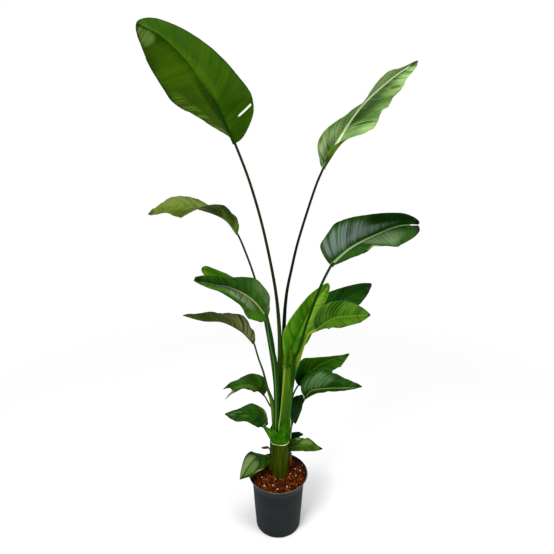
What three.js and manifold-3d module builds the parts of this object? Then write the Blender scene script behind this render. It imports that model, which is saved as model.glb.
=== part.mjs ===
// A potted bird of paradise plant (the tall white kind), in millimetres.
// +Z is up. The origin is the centre of the pot's underside, and +Y points away from the plant's
// display side. The leaves stand in a fan along X. Every leaf is one grown piece: a sheath that
// clasps the stem, a long stalk and a blade folded along its midrib.
import * as THREE from "three";
import { mergeVertices } from "three/addons/utils/BufferGeometryUtils.js";
import Module from "manifold-3d";

const wasm = await Module();
wasm.setup();

// ---------------------------------------------------------------- driving dimensions
const CLEARANCE = 0.3;          // air left between pieces that touch

const POT_HEIGHT = 252;
const POT_RIM_RADIUS = 120;
const POT_BAND_HEIGHT = 37;     // the flared band below the rim
const POT_NECK_RADIUS = 105;    // where the flared band starts
const POT_BASE_RADIUS = 92;
const POT_FOOT_ROUNDING = 5;
const POT_WALL = 2.2;
const POT_FLOOR = 3;
const RIM_BEAD = 4.4;           // width and depth of the thickened rim
const POT_SEGMENTS = 40;
const DRAIN_HOLES = 8;
const DRAIN_HOLE_RADIUS = 5;
const DRAIN_CIRCLE_RADIUS = 66;

const SOIL_LEVEL = 239;
const SOIL_CROWN = 6;           // the soil is heaped up towards the stems
const SOIL_BUMP = 2.2;
const ROOT_DEPTH = 150;         // lowest point of the stems in the soil

const STEM_X = 7;               // the stem stands a little right of the pot's centre
const STEM_TOP = 406;
const STEM_RADIUS_LOW = 30;
const STEM_RADIUS_TOP = 34.5;
const SHOOT_TOP = 300;

const BLADE_THICKNESS = 1.1;
const RIB_STEP = 0.12;          // the midrib's half-width, as a share of the half-blade
const EDGE_BASE = 4.5;          // half-width of a blade where it meets its stalk
const EDGE_TIP = 1.2;

const COLLAR_BOTTOM = STEM_TOP + CLEARANCE;
const COLLAR_FOOT_RADIUS = 36.6;
const COLLAR_RADIUS = 45;
const COLLAR_WALL = 2.4;

// ---------------------------------------------------------------- colours
const GREEN = {
  young: 0x5f9416,
  bright: 0x3f7a1e,
  mid: 0x2f6420,
  deep: 0x1f4a1c,
  dark: 0x15361a,
  olive: 0x4d5a1c,
  stem: 0x4a531a,
};

function skin(color, roughness = 0.45, metalness = 0) {
  return new THREE.MeshStandardMaterial({ color, roughness, metalness });
}

// ---------------------------------------------------------------- the leaves
// rib       points along the midrib, from the stalk to the tip
// roll      degrees that the blade turns about its midrib, from facing straight up
// width     greatest half-width of the left and right half, looking at the upper face
// fold      degrees that the left and right half are raised from flat, from stalk to tip
// taper     powers of the half-width law towards the stalk and the tip
// stalk     points from the stem to the blade, and radii: [across, front to back] at each point
const LEAVES = [
  {
    name: "leaf_01_tall_left", color: GREEN.mid, rows: 14,
    rib: [[-135, -65, 1550], [-190, -95, 1675], [-250, -130, 1768], [-312, -175, 1830],
      [-360, -225, 1862]],
    roll: [35, 40, 70, 81, 88], width: [104, 118],
    fold: [[40, 30, 36, 44, 45], [60, 30, 31, 33, 36]], taper: [[0.38, 0.62], [0.55, 0.62]],
    wave: { side: 1, count: 3, height: 6, phase: 0.1 },
    slit: { side: -1, along: 0.25, from: 0.45, width: 7 },
    stalk: [[6, 12, STEM_TOP], [6, 10, 600], [6, 6, 760], [4, 2, 880], [-7, -5, 1019],
      [-28, -15, 1153], [-58, -30, 1300], [-95, -45, 1436]],
    radii: [[10, 9], [10, 9], [9, 9], [7.5, 7.5], [5.8, 5.8], [5, 5], [4.6, 4.6], [4.3, 4.3],
      [4, 4]],
  },
  {
    name: "leaf_02_tall_right", color: GREEN.bright, rows: 18,
    rib: [[155, 85, 1460], [205, 95, 1565], [280, 110, 1665], [380, 125, 1745],
      [465, 140, 1805]],
    roll: [55, 65, 112, 95, 92], width: [80, 80],
    fold: [[70, 60, 62, 58, 62], [88, 64, 48, 52, 60]], taper: [[0.5, 0.75], [0.5, 0.75]],
    wave: { side: 1, count: 6, height: 6, phase: 0 },
    stalk: [[14, 20, STEM_TOP], [15, 18, 600], [20, 14, 740], [21, 12, 904], [29, 15, 1020],
      [46, 25, 1111], [72, 45, 1220], [125, 75, 1387]],
    radii: [[10, 8], [9, 8], [8.5, 8], [7, 7], [5.6, 5.6], [5, 5], [4.6, 4.6],
      [4.2, 4.2], [4, 4]],
  },
  {
    name: "leaf_03_right", color: GREEN.dark, rows: 12,
    rib: [[180, -30, 1143], [245, -48, 1212], [325, -80, 1268], [380, -110, 1302],
      [425, -140, 1310]],
    roll: [44, 52, 65, 92, 98], width: [95, 95],
    fold: [[40, 34, 48, 45, 40], [52, 52, 62, 58, 45]], taper: [[0.34, 0.45], [0.42, 0.45]],
    wave: { side: 1, count: 3, height: 5, phase: 0 },
    slit: { side: 1, along: 0.97, from: 0.3, width: 9 },
    stalk: [[27, 6, STEM_TOP], [38, 4, 560], [54, -8, 700], [76, -24, 820], [101, -45, 936],
      [143, -50, 1070]],
    radii: [[9, 8], [9, 8], [8, 8], [7, 7], [5.6, 5.6], [4.8, 4.8], [4.4, 4.4]],
  },
  {
    name: "leaf_04_upper_left", color: GREEN.bright, rows: 12,
    rib: [[-145, 45, 1240], [-185, 50, 1290], [-255, 55, 1325], [-345, 60, 1330],
      [-460, 70, 1298]],
    roll: [0, 0, 0], width: [55, 50],
    fold: [[70, 65, 0, -40, -20], [50, 35, 24, 60, 50]], taper: [[0.6, 0.9], [0.6, 0.9]],
    wave: { side: -1, count: 2.5, height: 6, phase: 0 },
    stalk: [[-6, 20, STEM_TOP], [-8, 20, 600], [-20, 18, 736], [-49, 20, 920], [-84, 26, 1077],
      [-122, 36, 1189]],
    radii: [[9, 7], [9, 7], [7.5, 7], [5.5, 5.5], [3.9, 3.9], [3.6, 3.6], [3.4, 3.4]],
  },
  {
    name: "leaf_05_middle_left", color: GREEN.deep, rows: 12,
    rib: [[-40, -40, 955], [-88, -90, 1042], [-150, -150, 1105], [-205, -200, 1135],
      [-255, -235, 1160]],
    roll: [-125, -108, -84, -74, -65], width: [70, 66],
    fold: [[58, 46, 50, 68, 68], [58, 46, 50, 68, 68]], taper: [[0.6, 0.8], [0.65, 0.8]],
    stalk: [[-8, -8, STEM_TOP], [-6, -16, 600], [-12, -20, 755], [-24, -26, 825],
      [-35, -33, 900]],
    radii: [[11, 8], [11, 8], [10, 7], [8.5, 7], [7, 6], [5.5, 5.5]],
  },
  {
    name: "leaf_06_behind_left", color: GREEN.bright, rows: 8,
    rib: [[-60, 60, 985], [-145, 80, 1030], [-220, 100, 1062], [-290, 120, 1085]],
    roll: [-55, -60, -80], width: [30, 38], fold: [[50, 60, 45, 25], [50, 60, 45, 25]],
    taper: [[0.45, 0.5], [0.45, 0.5]],
    stalk: [[2, 27, STEM_TOP], [-4, 30, 600], [-12, 34, 740], [-28, 44, 860]],
    radii: [[7, 4], [6, 5], [5, 5], [4.2, 4.2], [3.6, 3.6]],
  },
  {
    name: "leaf_07_left", color: GREEN.olive, rows: 10,
    rib: [[-91, 10, 830], [-135, 15, 872], [-205, 20, 904], [-275, 20, 912], [-350, 20, 935]],
    roll: [0, 0, 0], width: [48, 40],
    fold: [[85, 80, 65, 90, 100], [50, 40, 20, 40, 50]], taper: [[0.45, 0.8], [0.45, 0.8]],
    wave: { side: -1, count: 3, height: 3, phase: 0 },
    stalk: [[-17, 4, STEM_TOP], [-20, 0, 480], [-28, -1, 580], [-42, 2, 644], [-57, 6, 711],
      [-75, 9, 768]],
    radii: [[5, 11], [7, 10], [6.5, 8], [4.6, 5], [3.8, 3.8], [3.5, 3.5], [3.3, 3.3]],
  },
  {
    name: "leaf_08_low_left", color: GREEN.mid, rows: 10,
    rib: [[-57, 60, 576], [-90, 60, 620], [-140, 60, 628], [-185, 60, 615], [-220, 60, 603]],
    roll: [-30, -30, -30], width: [30, 42], fold: [[35, 28, 28, 35], [35, 28, 28, 35]],
    taper: [[0.5, 0.9], [0.5, 1.3]],
    stalk: [[-30, 33, SHOOT_TOP], [-31, 45, 373], [-29, 56, 493], [-37, 60, 534]],
    radii: [[4.4, 4.4], [4.2, 4.2], [3.6, 3.6], [3.3, 3.3], [3, 3]],
  },
  {
    name: "leaf_09_young", color: GREEN.young, rows: 12,
    rib: [[28, -14, 747], [46, -8, 811], [88, -5, 910], [129, 0, 1000], [178, 5, 1068]],
    roll: [110, 105, 76, 84, 84], width: [57, 47],
    fold: [[40, 24, 35, 45, 52], [40, 24, 35, 45, 52]], taper: [[0.8, 0.5], [0.8, 0.5]],
    stalk: [[20, -17, STEM_TOP], [23, -20, 500], [29, -21, 606], [30, -18, 690]],
    radii: [[15, 7], [15, 7], [12, 7], [9, 6.5], [6.5, 6]],
  },
  {
    name: "leaf_10_collar", color: GREEN.bright, rows: 10,
    rib: [[-55, -30, 490], [-80, -40, 545], [-120, -50, 565], [-165, -55, 568],
      [-202, -60, 570]],
    roll: [-90, -80, -45, -38, -38], width: [34, 36],
    fold: [[35, 22, 15, 10, -10], [35, 22, 15, 10, -10]], taper: [[0.65, 0.8], [0.55, 0.8]],
    stalk: [[-34, -15, 428], [-44, -22, 458]],
    radii: [[5, 16], [6, 9], [4.4, 4.6]],
  },
  {
    name: "leaf_11_over_rim", color: GREEN.mid, rows: 8,
    rib: [[-36, 4, 325], [-70, -20, 340], [-105, -45, 335], [-150, -80, 285]],
    roll: [-17, -20, -35, -35, -40], width: [46, 40],
    fold: [[-30, -25, -5, 0, 5], [-30, -25, -5, 0, 5]], taper: [[0.5, 0.8], [0.5, 0.8]],
    stalk: [[-31, 24, SHOOT_TOP], [-34, 14, 316]],
    radii: [[4.2, 4.2], [3.8, 3.8], [3.2, 3.2]],
  },
  {
    name: "leaf_12_withered", color: GREEN.olive, rows: 6,
    rib: [[-38, 42, 335], [-48, 46, 334], [-60, 52, 330], [-71, 58, 324]],
    roll: [0, 0], width: [8, 8], fold: [[20, 20], [20, 20]], taper: [[0.5, 0.8], [0.5, 0.8]],
    stalk: [[-32, 32, SHOOT_TOP], [-33, 37, 326]],
    radii: [[2.6, 2.6], [2.4, 2.4], [2, 2]],
  },
  {
    name: "leaf_13_hanging", color: GREEN.dark, rows: 8,
    rib: [[98, 78, 560], [87, 80, 518], [78, 78, 474], [71, 76, 428]],
    roll: [-90, -85], width: [12, 40], fold: [[10, 10], [10, 10]],
    taper: [[0.5, 0.8], [0.5, 0.8]],
    stalk: [[38, 60, SHOOT_TOP], [46, 72, 400], [64, 79, 490], [86, 80, 556]],
    radii: [[3.4, 3.4], [3.2, 3.2], [3, 3], [3, 3], [2.8, 2.8]],
  },
  {
    name: "leaf_14_low_right", color: GREEN.deep, rows: 10,
    rib: [[105, 30, 580], [130, 20, 618], [195, -10, 640], [255, -40, 655], [308, -60, 682]],
    roll: [80, 40, 20, 17, 20], width: [72, 50],
    fold: [[66, 48, 42, 44, 45], [70, 50, 42, 44, 45]], taper: [[0.65, 0.9], [0.7, 1.0]],
    stalk: [[48, 41, SHOOT_TOP], [50, 42, 375], [57, 40, 458], [90, 34, 540]],
    radii: [[4.6, 4.6], [4.2, 4.2], [3.8, 3.8], [3.4, 3.4], [3.2, 3.2]],
  },
  {
    name: "leaf_15_right", color: GREEN.deep, rows: 10,
    rib: [[80, 66, 618], [115, 80, 657], [160, 96, 685], [215, 110, 707], [288, 128, 724]],
    roll: [45, 38, 62, 90, 90], width: [56, 50],
    fold: [[58, 42, 47, 42, 45], [58, 42, 47, 42, 45]], taper: [[0.5, 1.0], [0.5, 1.0]],
    stalk: [[38, 58, SHOOT_TOP], [40, 60, 400], [46, 62, 500], [60, 62, 575]],
    radii: [[4.2, 4.2], [4, 4], [3.8, 3.8], [3.5, 3.5], [3.2, 3.2]],
  },
  {
    name: "leaf_16_behind_right", color: GREEN.dark, rows: 10,
    rib: [[120, 50, 850], [185, 75, 935], [235, 95, 965], [295, 115, 993], [360, 140, 1018]],
    roll: [55, 55, 55, 70, 78], width: [50, 52], fold: [[20, 20], [20, 20]],
    taper: [[0.45, 0.55], [0.8, 0.55]],
    stalk: [[24, 24, STEM_TOP], [33, 26, 560], [52, 30, 680], [80, 38, 780]],
    radii: [[6, 5], [6, 5], [5.5, 5], [4.6, 4.6], [4, 4]],
  },
  {
    name: "leaf_17_front_right", color: GREEN.bright, rows: 10,
    rib: [[134, -40, 906], [169, -55, 940], [204, -74, 958], [248, -97, 968],
      [308, -120, 988]],
    roll: [65, 60, 52, 42, 38], width: [58, 50],
    fold: [[58, 50, 42, 36, 34], [58, 50, 42, 36, 34]], taper: [[0.7, 0.8], [0.75, 0.8]],
    stalk: [[30, -8, STEM_TOP], [36, -8, 484], [48, -12, 600], [60, -17, 666], [75, -24, 750],
      [95, -33, 820]],
    radii: [[8, 14], [9, 13], [9, 11], [9, 9], [8, 7], [6, 6], [4.6, 4.6]],
  },
  {
    name: "leaf_18_low_right", color: GREEN.bright, rows: 8,
    rib: [[42, 31, 345], [80, 20, 362], [130, 10, 372], [178, 0, 365]],
    roll: [45, 30, 40, 60], width: [35, 32], fold: [[40, 30, 30, 20], [40, 30, 30, 20]],
    taper: [[0.45, 0.9], [0.45, 0.9]],
    stalk: [[49, 32, SHOOT_TOP], [45, 32, 322]],
    radii: [[3.4, 3.4], [3.2, 3.2], [3, 3]],
  },
  {
    name: "leaf_19_small", color: GREEN.dark, rows: 6,
    rib: [[54, 58, 356], [62, 61, 378], [82, 67, 389], [104, 71, 380]],
    roll: [0, 0], width: [14, 24], fold: [[20, 20], [0, -20]], taper: [[0.5, 0.8], [0.5, 0.8]],
    stalk: [[47, 52, SHOOT_TOP], [50, 55, 345]],
    radii: [[2.8, 2.8], [2.6, 2.6], [2.4, 2.4]],
  },
];

// ---------------------------------------------------------------- small helpers
const UP = new THREE.Vector3(0, 0, 1);
const vector = ([x, y, z]) => new THREE.Vector3(x, y, z);
const radians = THREE.MathUtils.degToRad;

/** The value at u (0 to 1) of a list of evenly spaced stations. */
function along(stations, u) {
  const place = THREE.MathUtils.clamp(u, 0, 1) * (stations.length - 1);
  const low = Math.min(Math.floor(place), stations.length - 2);
  return THREE.MathUtils.lerp(stations[low], stations[low + 1], place - low);
}

function smoothCurve(points) {
  return new THREE.CatmullRomCurve3(points, false, "catmullrom", 0.5);
}

/** A geometry from points and triangles. */
function closedGeometry(points, triangles) {
  const geometry = new THREE.BufferGeometry();
  const coordinates = points.flatMap((point) => [point.x, point.y, point.z]);
  geometry.setAttribute("position", new THREE.Float32BufferAttribute(coordinates, 3));
  geometry.setIndex(triangles.flat());
  return geometry;
}

/** Quads between two rows of equal length, each as two triangles. */
function stitch(rowA, rowB, close = true) {
  const triangles = [];
  const last = close ? rowA.length : rowA.length - 1;
  for (let i = 0; i < last; i++) {
    const j = (i + 1) % rowA.length;
    triangles.push([rowA[i], rowA[j], rowB[j]], [rowA[i], rowB[j], rowB[i]]);
  }
  return triangles;
}

function toSolid(geometry) {
  const bare = geometry.clone();
  bare.deleteAttribute("normal");
  bare.deleteAttribute("uv");
  const merged = mergeVertices(bare, 1e-4);
  return new wasm.Manifold(new wasm.Mesh({
    numProp: 3,
    vertProperties: new Float32Array(merged.attributes.position.array),
    triVerts: new Uint32Array(merged.index.array),
  }));
}

function toGeometry(solid) {
  const mesh = solid.getMesh();
  const geometry = new THREE.BufferGeometry();
  geometry.setAttribute("position", new THREE.BufferAttribute(mesh.vertProperties, 3));
  geometry.setIndex(new THREE.BufferAttribute(mesh.triVerts, 1));
  geometry.computeVertexNormals();
  return geometry;
}

/** The largest of a solid's separate bodies. */
function largestBody(solid) {
  const bodies = solid.decompose();
  return bodies.reduce((best, body) => (body.volume() > best.volume() ? body : best));
}

// ---------------------------------------------------------------- stalks and stems
/**
 * A rod of oval section through points, with half-widths given at each point:
 * [across X, front to back]. grow widens it all round, to cut room for it in a neighbour.
 */
function rod(points, radii, grow, sides, ringsPerSpan) {
  const curve = smoothCurve(points);
  const rings = (points.length - 1) * ringsPerSpan;
  const vertices = [];
  const rows = [];
  for (let ring = 0; ring <= rings; ring++) {
    const t = ring / rings;
    const heading = curve.getTangent(t);
    const overrun = ring === 0 ? -grow : ring === rings ? grow : 0;
    const centre = curve.getPoint(t).addScaledVector(heading, overrun);
    const depth = new THREE.Vector3(0, 1, 0).addScaledVector(heading, -heading.y).normalize();
    const across = depth.clone().cross(heading);
    const halfAcross = along(radii.map((pair) => pair[0]), t) + grow;
    const halfDepth = along(radii.map((pair) => pair[1]), t) + grow;
    const row = [];
    for (let side = 0; side < sides; side++) {
      const angle = (2 * Math.PI * (side + 0.5)) / sides;
      row.push(vertices.length);
      vertices.push(centre.clone()
        .addScaledVector(across, halfAcross * Math.cos(angle))
        .addScaledVector(depth, halfDepth * Math.sin(angle)));
    }
    rows.push(row);
  }
  const triangles = rows.slice(1).flatMap((row, i) => stitch(rows[i], row));
  for (let i = 1; i < sides - 1; i++) {
    triangles.push([rows[0][0], rows[0][i + 1], rows[0][i]]);
    triangles.push([rows[rings][0], rows[rings][i], rows[rings][i + 1]]);
  }
  return toSolid(closedGeometry(vertices, triangles));
}

/** A leaf's stalk, from the stem into the foot of its blade. */
function stalkOf(leaf, grow = 0) {
  const rib = smoothCurve(leaf.rib.map(vector));
  const points = leaf.stalk.map(vector);
  points[0].z += CLEARANCE;
  points.push(rib.getPointAt(0));
  const radii = [...leaf.radii];
  points.push(rib.getPointAt(0.05));
  radii.push([2, 2]);
  return rod(points, radii, grow, leaf.radii[0][0] > 5.5 ? 8 : 6, 2);
}

// ---------------------------------------------------------------- blades
/**
 * A blade is a grid of points on its upper face. Rows run across it from the stalk to the tip,
 * swept forward towards the margin as the side veins are. Each half is raised from flat by its
 * fold and curves back a little towards its margin. The half-width follows
 * s^a (1 - s)^b, and a sine along the margin waves it.
 */
function bladeGrid(leaf) {
  const rib = smoothCurve(leaf.rib.map(vector));
  const length = rib.getLength();
  const lead = 0.08;
  const steps = Math.max(...leaf.width) > 75 ? [0, RIB_STEP, 0.42, 0.72, 1] : [0, RIB_STEP, 0.56, 1];
  const grid = [];
  for (let row = 0; row <= leaf.rows; row++) {
    const tau = row / leaf.rows;
    const station = (1 - Math.cos(Math.PI * tau)) / 2;
    const rootStation = station - 4 * lead * station * (1 - station);
    const halves = [-1, 1].map((side, half) => steps.map((t) => {
      const [a, b] = leaf.taper[half];
      const peak = a / (a + b);
      const law = (station ** a * (1 - station) ** b) / (peak ** a * (1 - peak) ** b);
      const edge = THREE.MathUtils.lerp(EDGE_BASE, EDGE_TIP, tau);
      const reach = Math.hypot(leaf.width[half] * law, edge) * t;
      const s = THREE.MathUtils.clamp(rootStation + (station - rootStation) * t ** 1.4, 0, 1);
      const fold = radians(along(leaf.fold[half], s));
      const droop = Math.max(radians(15) * t, 1e-4);
      const lateral = (reach * (Math.sin(fold) - Math.sin(fold - droop))) / droop;
      let rise = (reach * (Math.cos(fold - droop) - Math.cos(fold))) / droop;
      const wave = leaf.wave;
      if (wave && wave.side === side) {
        rise += wave.height * t ** 1.5 * Math.sin(2 * Math.PI * (wave.count * tau + wave.phase))
          * Math.sqrt(Math.max(Math.sin(Math.PI * tau), 0));
      }
      const heading = rib.getTangentAt(s);
      const level = UP.clone().addScaledVector(heading, -heading.z).normalize();
      const roll = radians(along(leaf.roll, s));
      const facing = level.clone().multiplyScalar(Math.cos(roll))
        .addScaledVector(heading.clone().cross(level), Math.sin(roll));
      const across = heading.clone().cross(facing);
      return rib.getPointAt(s)
        .addScaledVector(across, side * lateral)
        .addScaledVector(facing, rise);
    }));
    grid.push([...halves[0].reverse(), ...halves[1].slice(1)]);
  }
  return { grid, length, middle: steps.length - 1 };
}

/** The unit normal of the grid's upper face at each point. */
function gridNormals(grid) {
  const rows = grid.length - 1;
  const columns = grid[0].length - 1;
  return grid.map((line, i) => line.map((_, j) => {
    const forward = grid[Math.min(i + 1, rows)][j].clone().sub(grid[Math.max(i - 1, 0)][j]);
    const sideways = line[Math.min(j + 1, columns)].clone().sub(line[Math.max(j - 1, 0)]);
    return sideways.cross(forward).normalize();
  }));
}

/** The blade as a closed body, with the midrib standing out below as a keel. */
function bladeOf(leaf) {
  const { grid, middle } = bladeGrid(leaf);
  const normals = gridNormals(grid);
  const ribDepth = leaf.radii[leaf.radii.length - 1][0] * 1.6;
  const vertices = [];
  const upper = [];
  const lower = [];
  grid.forEach((line, i) => {
    const tau = i / leaf.rows;
    const keel = ribDepth * (1 - tau) ** 0.8;
    upper.push(line.map((point, j) => vertices.push(
      point.clone().addScaledVector(normals[i][j], BLADE_THICKNESS / 2)) - 1));
    lower.push(line.map((point, j) => {
      const depth = BLADE_THICKNESS / 2 + (j === middle ? keel : 0);
      return vertices.push(point.clone().addScaledVector(normals[i][j], -depth)) - 1;
    }));
  });
  const triangles = [];
  for (let i = 0; i < leaf.rows; i++) {
    triangles.push(...stitch(upper[i], upper[i + 1], false));
    triangles.push(...stitch(lower[i], lower[i + 1], false).map(([a, b, c]) => [a, c, b]));
  }
  const rim = (face) => [
    ...face[0],
    ...face.slice(1, -1).map((line) => line[line.length - 1]),
    ...[...face[face.length - 1]].reverse(),
    ...face.slice(1, -1).map((line) => line[0]).reverse(),
  ];
  triangles.push(...stitch(rim(lower), rim(upper)));
  return toSolid(closedGeometry(vertices, triangles));
}

/** A wedge along a side vein, open at the margin, to cut a torn blade. */
function slitOf(leaf) {
  const { grid, middle } = bladeGrid(leaf);
  const normals = gridNormals(grid);
  const { side, along: where, from, width } = leaf.slit;
  const row = Math.round(where * leaf.rows);
  const line = grid[row];
  const columns = line.length - 1;
  const marginColumn = side < 0 ? 0 : columns;
  const inner = line[middle].clone().lerp(line[marginColumn], from);
  const outer = line[marginColumn].clone().addScaledVector(
    line[marginColumn].clone().sub(inner).normalize(), 4);
  const normal = normals[row][side < 0 ? 1 : columns - 1];
  const spread = outer.clone().sub(inner).cross(normal).setLength(width / 2);
  const reach = 25;
  const corners = [inner, outer.clone().add(spread), outer.clone().sub(spread)];
  const vertices = [
    ...corners.map((point) => point.clone().addScaledVector(normal, -reach)),
    ...corners.map((point) => point.clone().addScaledVector(normal, reach)),
  ];
  const triangles = [[0, 2, 1], [3, 4, 5], ...stitch([0, 1, 2], [3, 4, 5])];
  return toSolid(closedGeometry(vertices, triangles));
}

// ---------------------------------------------------------------- the collar sheath
/**
 * The open sheath of leaf 10: a cup that stands on the stem and flares round the foot of the
 * fan. It is lowest at the front, where its margins meet, and higher to the right and behind.
 */
function collarCup() {
  const steps = 24;
  const vertices = [];
  const rows = [[], [], [], [], [], [], []];
  for (let i = 0; i < steps; i++) {
    const angle = (2 * Math.PI * i) / steps;
    const x = Math.cos(angle);
    const y = Math.sin(angle);
    const top = 490 + 24 * Math.max(x, 0) + 26 * Math.max(y, 0) + 4 * Math.max(-x, 0);
    const place = (radius, z) => vertices.push(
      new THREE.Vector3(STEM_X + radius * x, radius * y, z)) - 1;
    rows[0].push(place(COLLAR_FOOT_RADIUS, COLLAR_BOTTOM));
    rows[1].push(place(COLLAR_FOOT_RADIUS + 2.5, COLLAR_BOTTOM + 5));
    rows[2].push(place(COLLAR_RADIUS, COLLAR_BOTTOM + 24));
    rows[3].push(place(COLLAR_RADIUS, top));
    rows[4].push(place(COLLAR_RADIUS - COLLAR_WALL / 2, top));
    rows[5].push(place(COLLAR_RADIUS - COLLAR_WALL, COLLAR_BOTTOM + 24));
    rows[6].push(place(COLLAR_FOOT_RADIUS - COLLAR_WALL, COLLAR_BOTTOM));
  }
  const triangles = rows.flatMap((row, i) => stitch(row, rows[(i + 1) % rows.length]));
  return toSolid(closedGeometry(vertices, triangles));
}

// ---------------------------------------------------------------- pot and soil
function potGeometry() {
  const profile = [
    [0, 0],
    [POT_BASE_RADIUS - POT_FOOT_ROUNDING, 0],
    [POT_BASE_RADIUS - 1.2, 1.6],
    [POT_BASE_RADIUS, POT_FOOT_ROUNDING],
    [POT_NECK_RADIUS, POT_HEIGHT - POT_BAND_HEIGHT],
    [POT_RIM_RADIUS - 2, POT_HEIGHT - RIM_BEAD],
    [POT_RIM_RADIUS, POT_HEIGHT - RIM_BEAD / 2],
    [POT_RIM_RADIUS - 1, POT_HEIGHT - 0.8],
    [POT_RIM_RADIUS - RIM_BEAD / 2, POT_HEIGHT],
    [POT_RIM_RADIUS - RIM_BEAD, POT_HEIGHT - 1.2],
    [POT_RIM_RADIUS - RIM_BEAD, POT_HEIGHT - RIM_BEAD],
    [POT_NECK_RADIUS - POT_WALL, POT_HEIGHT - POT_BAND_HEIGHT],
    [POT_BASE_RADIUS - POT_WALL, POT_FLOOR],
    [0, POT_FLOOR],
  ].map(([radius, z]) => new THREE.Vector2(radius, z));
  let solid = toSolid(new THREE.LatheGeometry(profile, POT_SEGMENTS).rotateX(Math.PI / 2));
  for (let hole = 0; hole < DRAIN_HOLES; hole++) {
    const angle = (2 * Math.PI * (hole + 0.5)) / DRAIN_HOLES;
    const drill = new THREE.CylinderGeometry(DRAIN_HOLE_RADIUS, DRAIN_HOLE_RADIUS, 12, 8);
    drill.rotateX(Math.PI / 2);
    drill.translate(DRAIN_CIRCLE_RADIUS * Math.cos(angle),
      DRAIN_CIRCLE_RADIUS * Math.sin(angle), POT_FLOOR / 2);
    solid = solid.subtract(toSolid(drill));
  }
  return toGeometry(solid);
}

/** Inner radius of the pot at height z. */
function potInside(z) {
  const neck = POT_HEIGHT - POT_BAND_HEIGHT;
  if (z > neck) {
    const share = (z - neck) / POT_BAND_HEIGHT;
    return THREE.MathUtils.lerp(POT_NECK_RADIUS - POT_WALL, POT_RIM_RADIUS - RIM_BEAD, share);
  }
  const share = (z - POT_FLOOR) / (neck - POT_FLOOR);
  return THREE.MathUtils.lerp(POT_BASE_RADIUS, POT_NECK_RADIUS, share) - POT_WALL;
}

/** Height of the soil at (x, y): heaped towards the middle, with crumbs as crossed sines. */
function soilHeight(x, y) {
  const share = Math.hypot(x, y) / POT_NECK_RADIUS;
  const crumbs = Math.sin(0.31 * x + 1.3) * Math.cos(0.27 * y - 0.6)
    + 0.6 * Math.sin(0.62 * y + 0.4 * x) + 0.5 * Math.cos(0.55 * x - 0.8 * y);
  return SOIL_LEVEL + SOIL_CROWN * (1 - share ** 2) + SOIL_BUMP * 0.5 * crumbs;
}

function soilBody() {
  const sectors = 30;
  const topRings = 6;
  const vertices = [];
  const ring = (radius, heightAt) => {
    const row = [];
    for (let i = 0; i < sectors; i++) {
      const angle = (2 * Math.PI * i) / sectors;
      const x = radius * Math.cos(angle);
      const y = radius * Math.sin(angle);
      row.push(vertices.push(new THREE.Vector3(x, y, heightAt(x, y))) - 1);
    }
    return row;
  };
  const neck = POT_HEIGHT - POT_BAND_HEIGHT;
  const facet = 1 / Math.cos(Math.PI / POT_SEGMENTS);
  const clear = (z) => potInside(z) / facet - CLEARANCE;
  const floor = POT_FLOOR + CLEARANCE;
  const topRadius = clear(SOIL_LEVEL - 3);
  const rows = [
    ring(clear(floor), () => floor),
    ring(clear(neck), () => neck),
  ];
  for (let i = 0; i < topRings; i++) {
    rows.push(ring(topRadius * (1 - i / topRings), soilHeight));
  }
  const triangles = rows.slice(1).flatMap((row, i) => stitch(rows[i], row));
  const bottom = vertices.push(new THREE.Vector3(0, 0, floor)) - 1;
  const top = vertices.push(new THREE.Vector3(0, 0, soilHeight(0, 0))) - 1;
  const inner = rows[rows.length - 1];
  for (let i = 0; i < sectors; i++) {
    const j = (i + 1) % sectors;
    triangles.push([bottom, rows[0][j], rows[0][i]], [top, inner[i], inner[j]]);
  }
  return toSolid(closedGeometry(vertices, triangles));
}

// ---------------------------------------------------------------- stems in the soil
const STEMS = [
  {
    name: "main_stem", color: GREEN.stem, sides: 20,
    points: [[STEM_X, 0, ROOT_DEPTH], [STEM_X, 0, 230], [STEM_X, 0, 320], [STEM_X, 0, STEM_TOP]],
    radii: [[28, 27], [STEM_RADIUS_LOW, 29], [33, 32], [STEM_RADIUS_TOP, STEM_RADIUS_TOP]],
  },
  {
    name: "left_shoot_stem", color: GREEN.olive, sides: 10,
    points: [[-30, 24, ROOT_DEPTH], [-30, 26, 230], [-30, 29, SHOOT_TOP]],
    radii: [[7, 8], [8, 9], [9, 11]],
  },
  {
    name: "right_shoot_stem", color: GREEN.olive, sides: 10,
    points: [[47, 48, ROOT_DEPTH], [46, 50, 230], [45, 50, SHOOT_TOP]],
    radii: [[10, 10], [11, 12], [12, 16]],
  },
];

function stemBody(stem, grow = 0) {
  return rod(stem.points.map(vector), stem.radii, grow, stem.sides, 2);
}

// ---------------------------------------------------------------- assembly
const plant = new THREE.Group();

function add(name, geometry, material) {
  const mesh = new THREE.Mesh(geometry, material);
  mesh.name = name;
  plant.add(mesh);
}

add("pot", potGeometry(), skin(0x2b2f36, 0.6));

let soil = soilBody();
for (const stem of STEMS) {
  soil = soil.subtract(stemBody(stem, CLEARANCE));
  add(stem.name, toGeometry(stemBody(stem)), skin(stem.color, 0.5));
}
add("soil", toGeometry(soil), skin(0x4a2414, 0.95));

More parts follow.
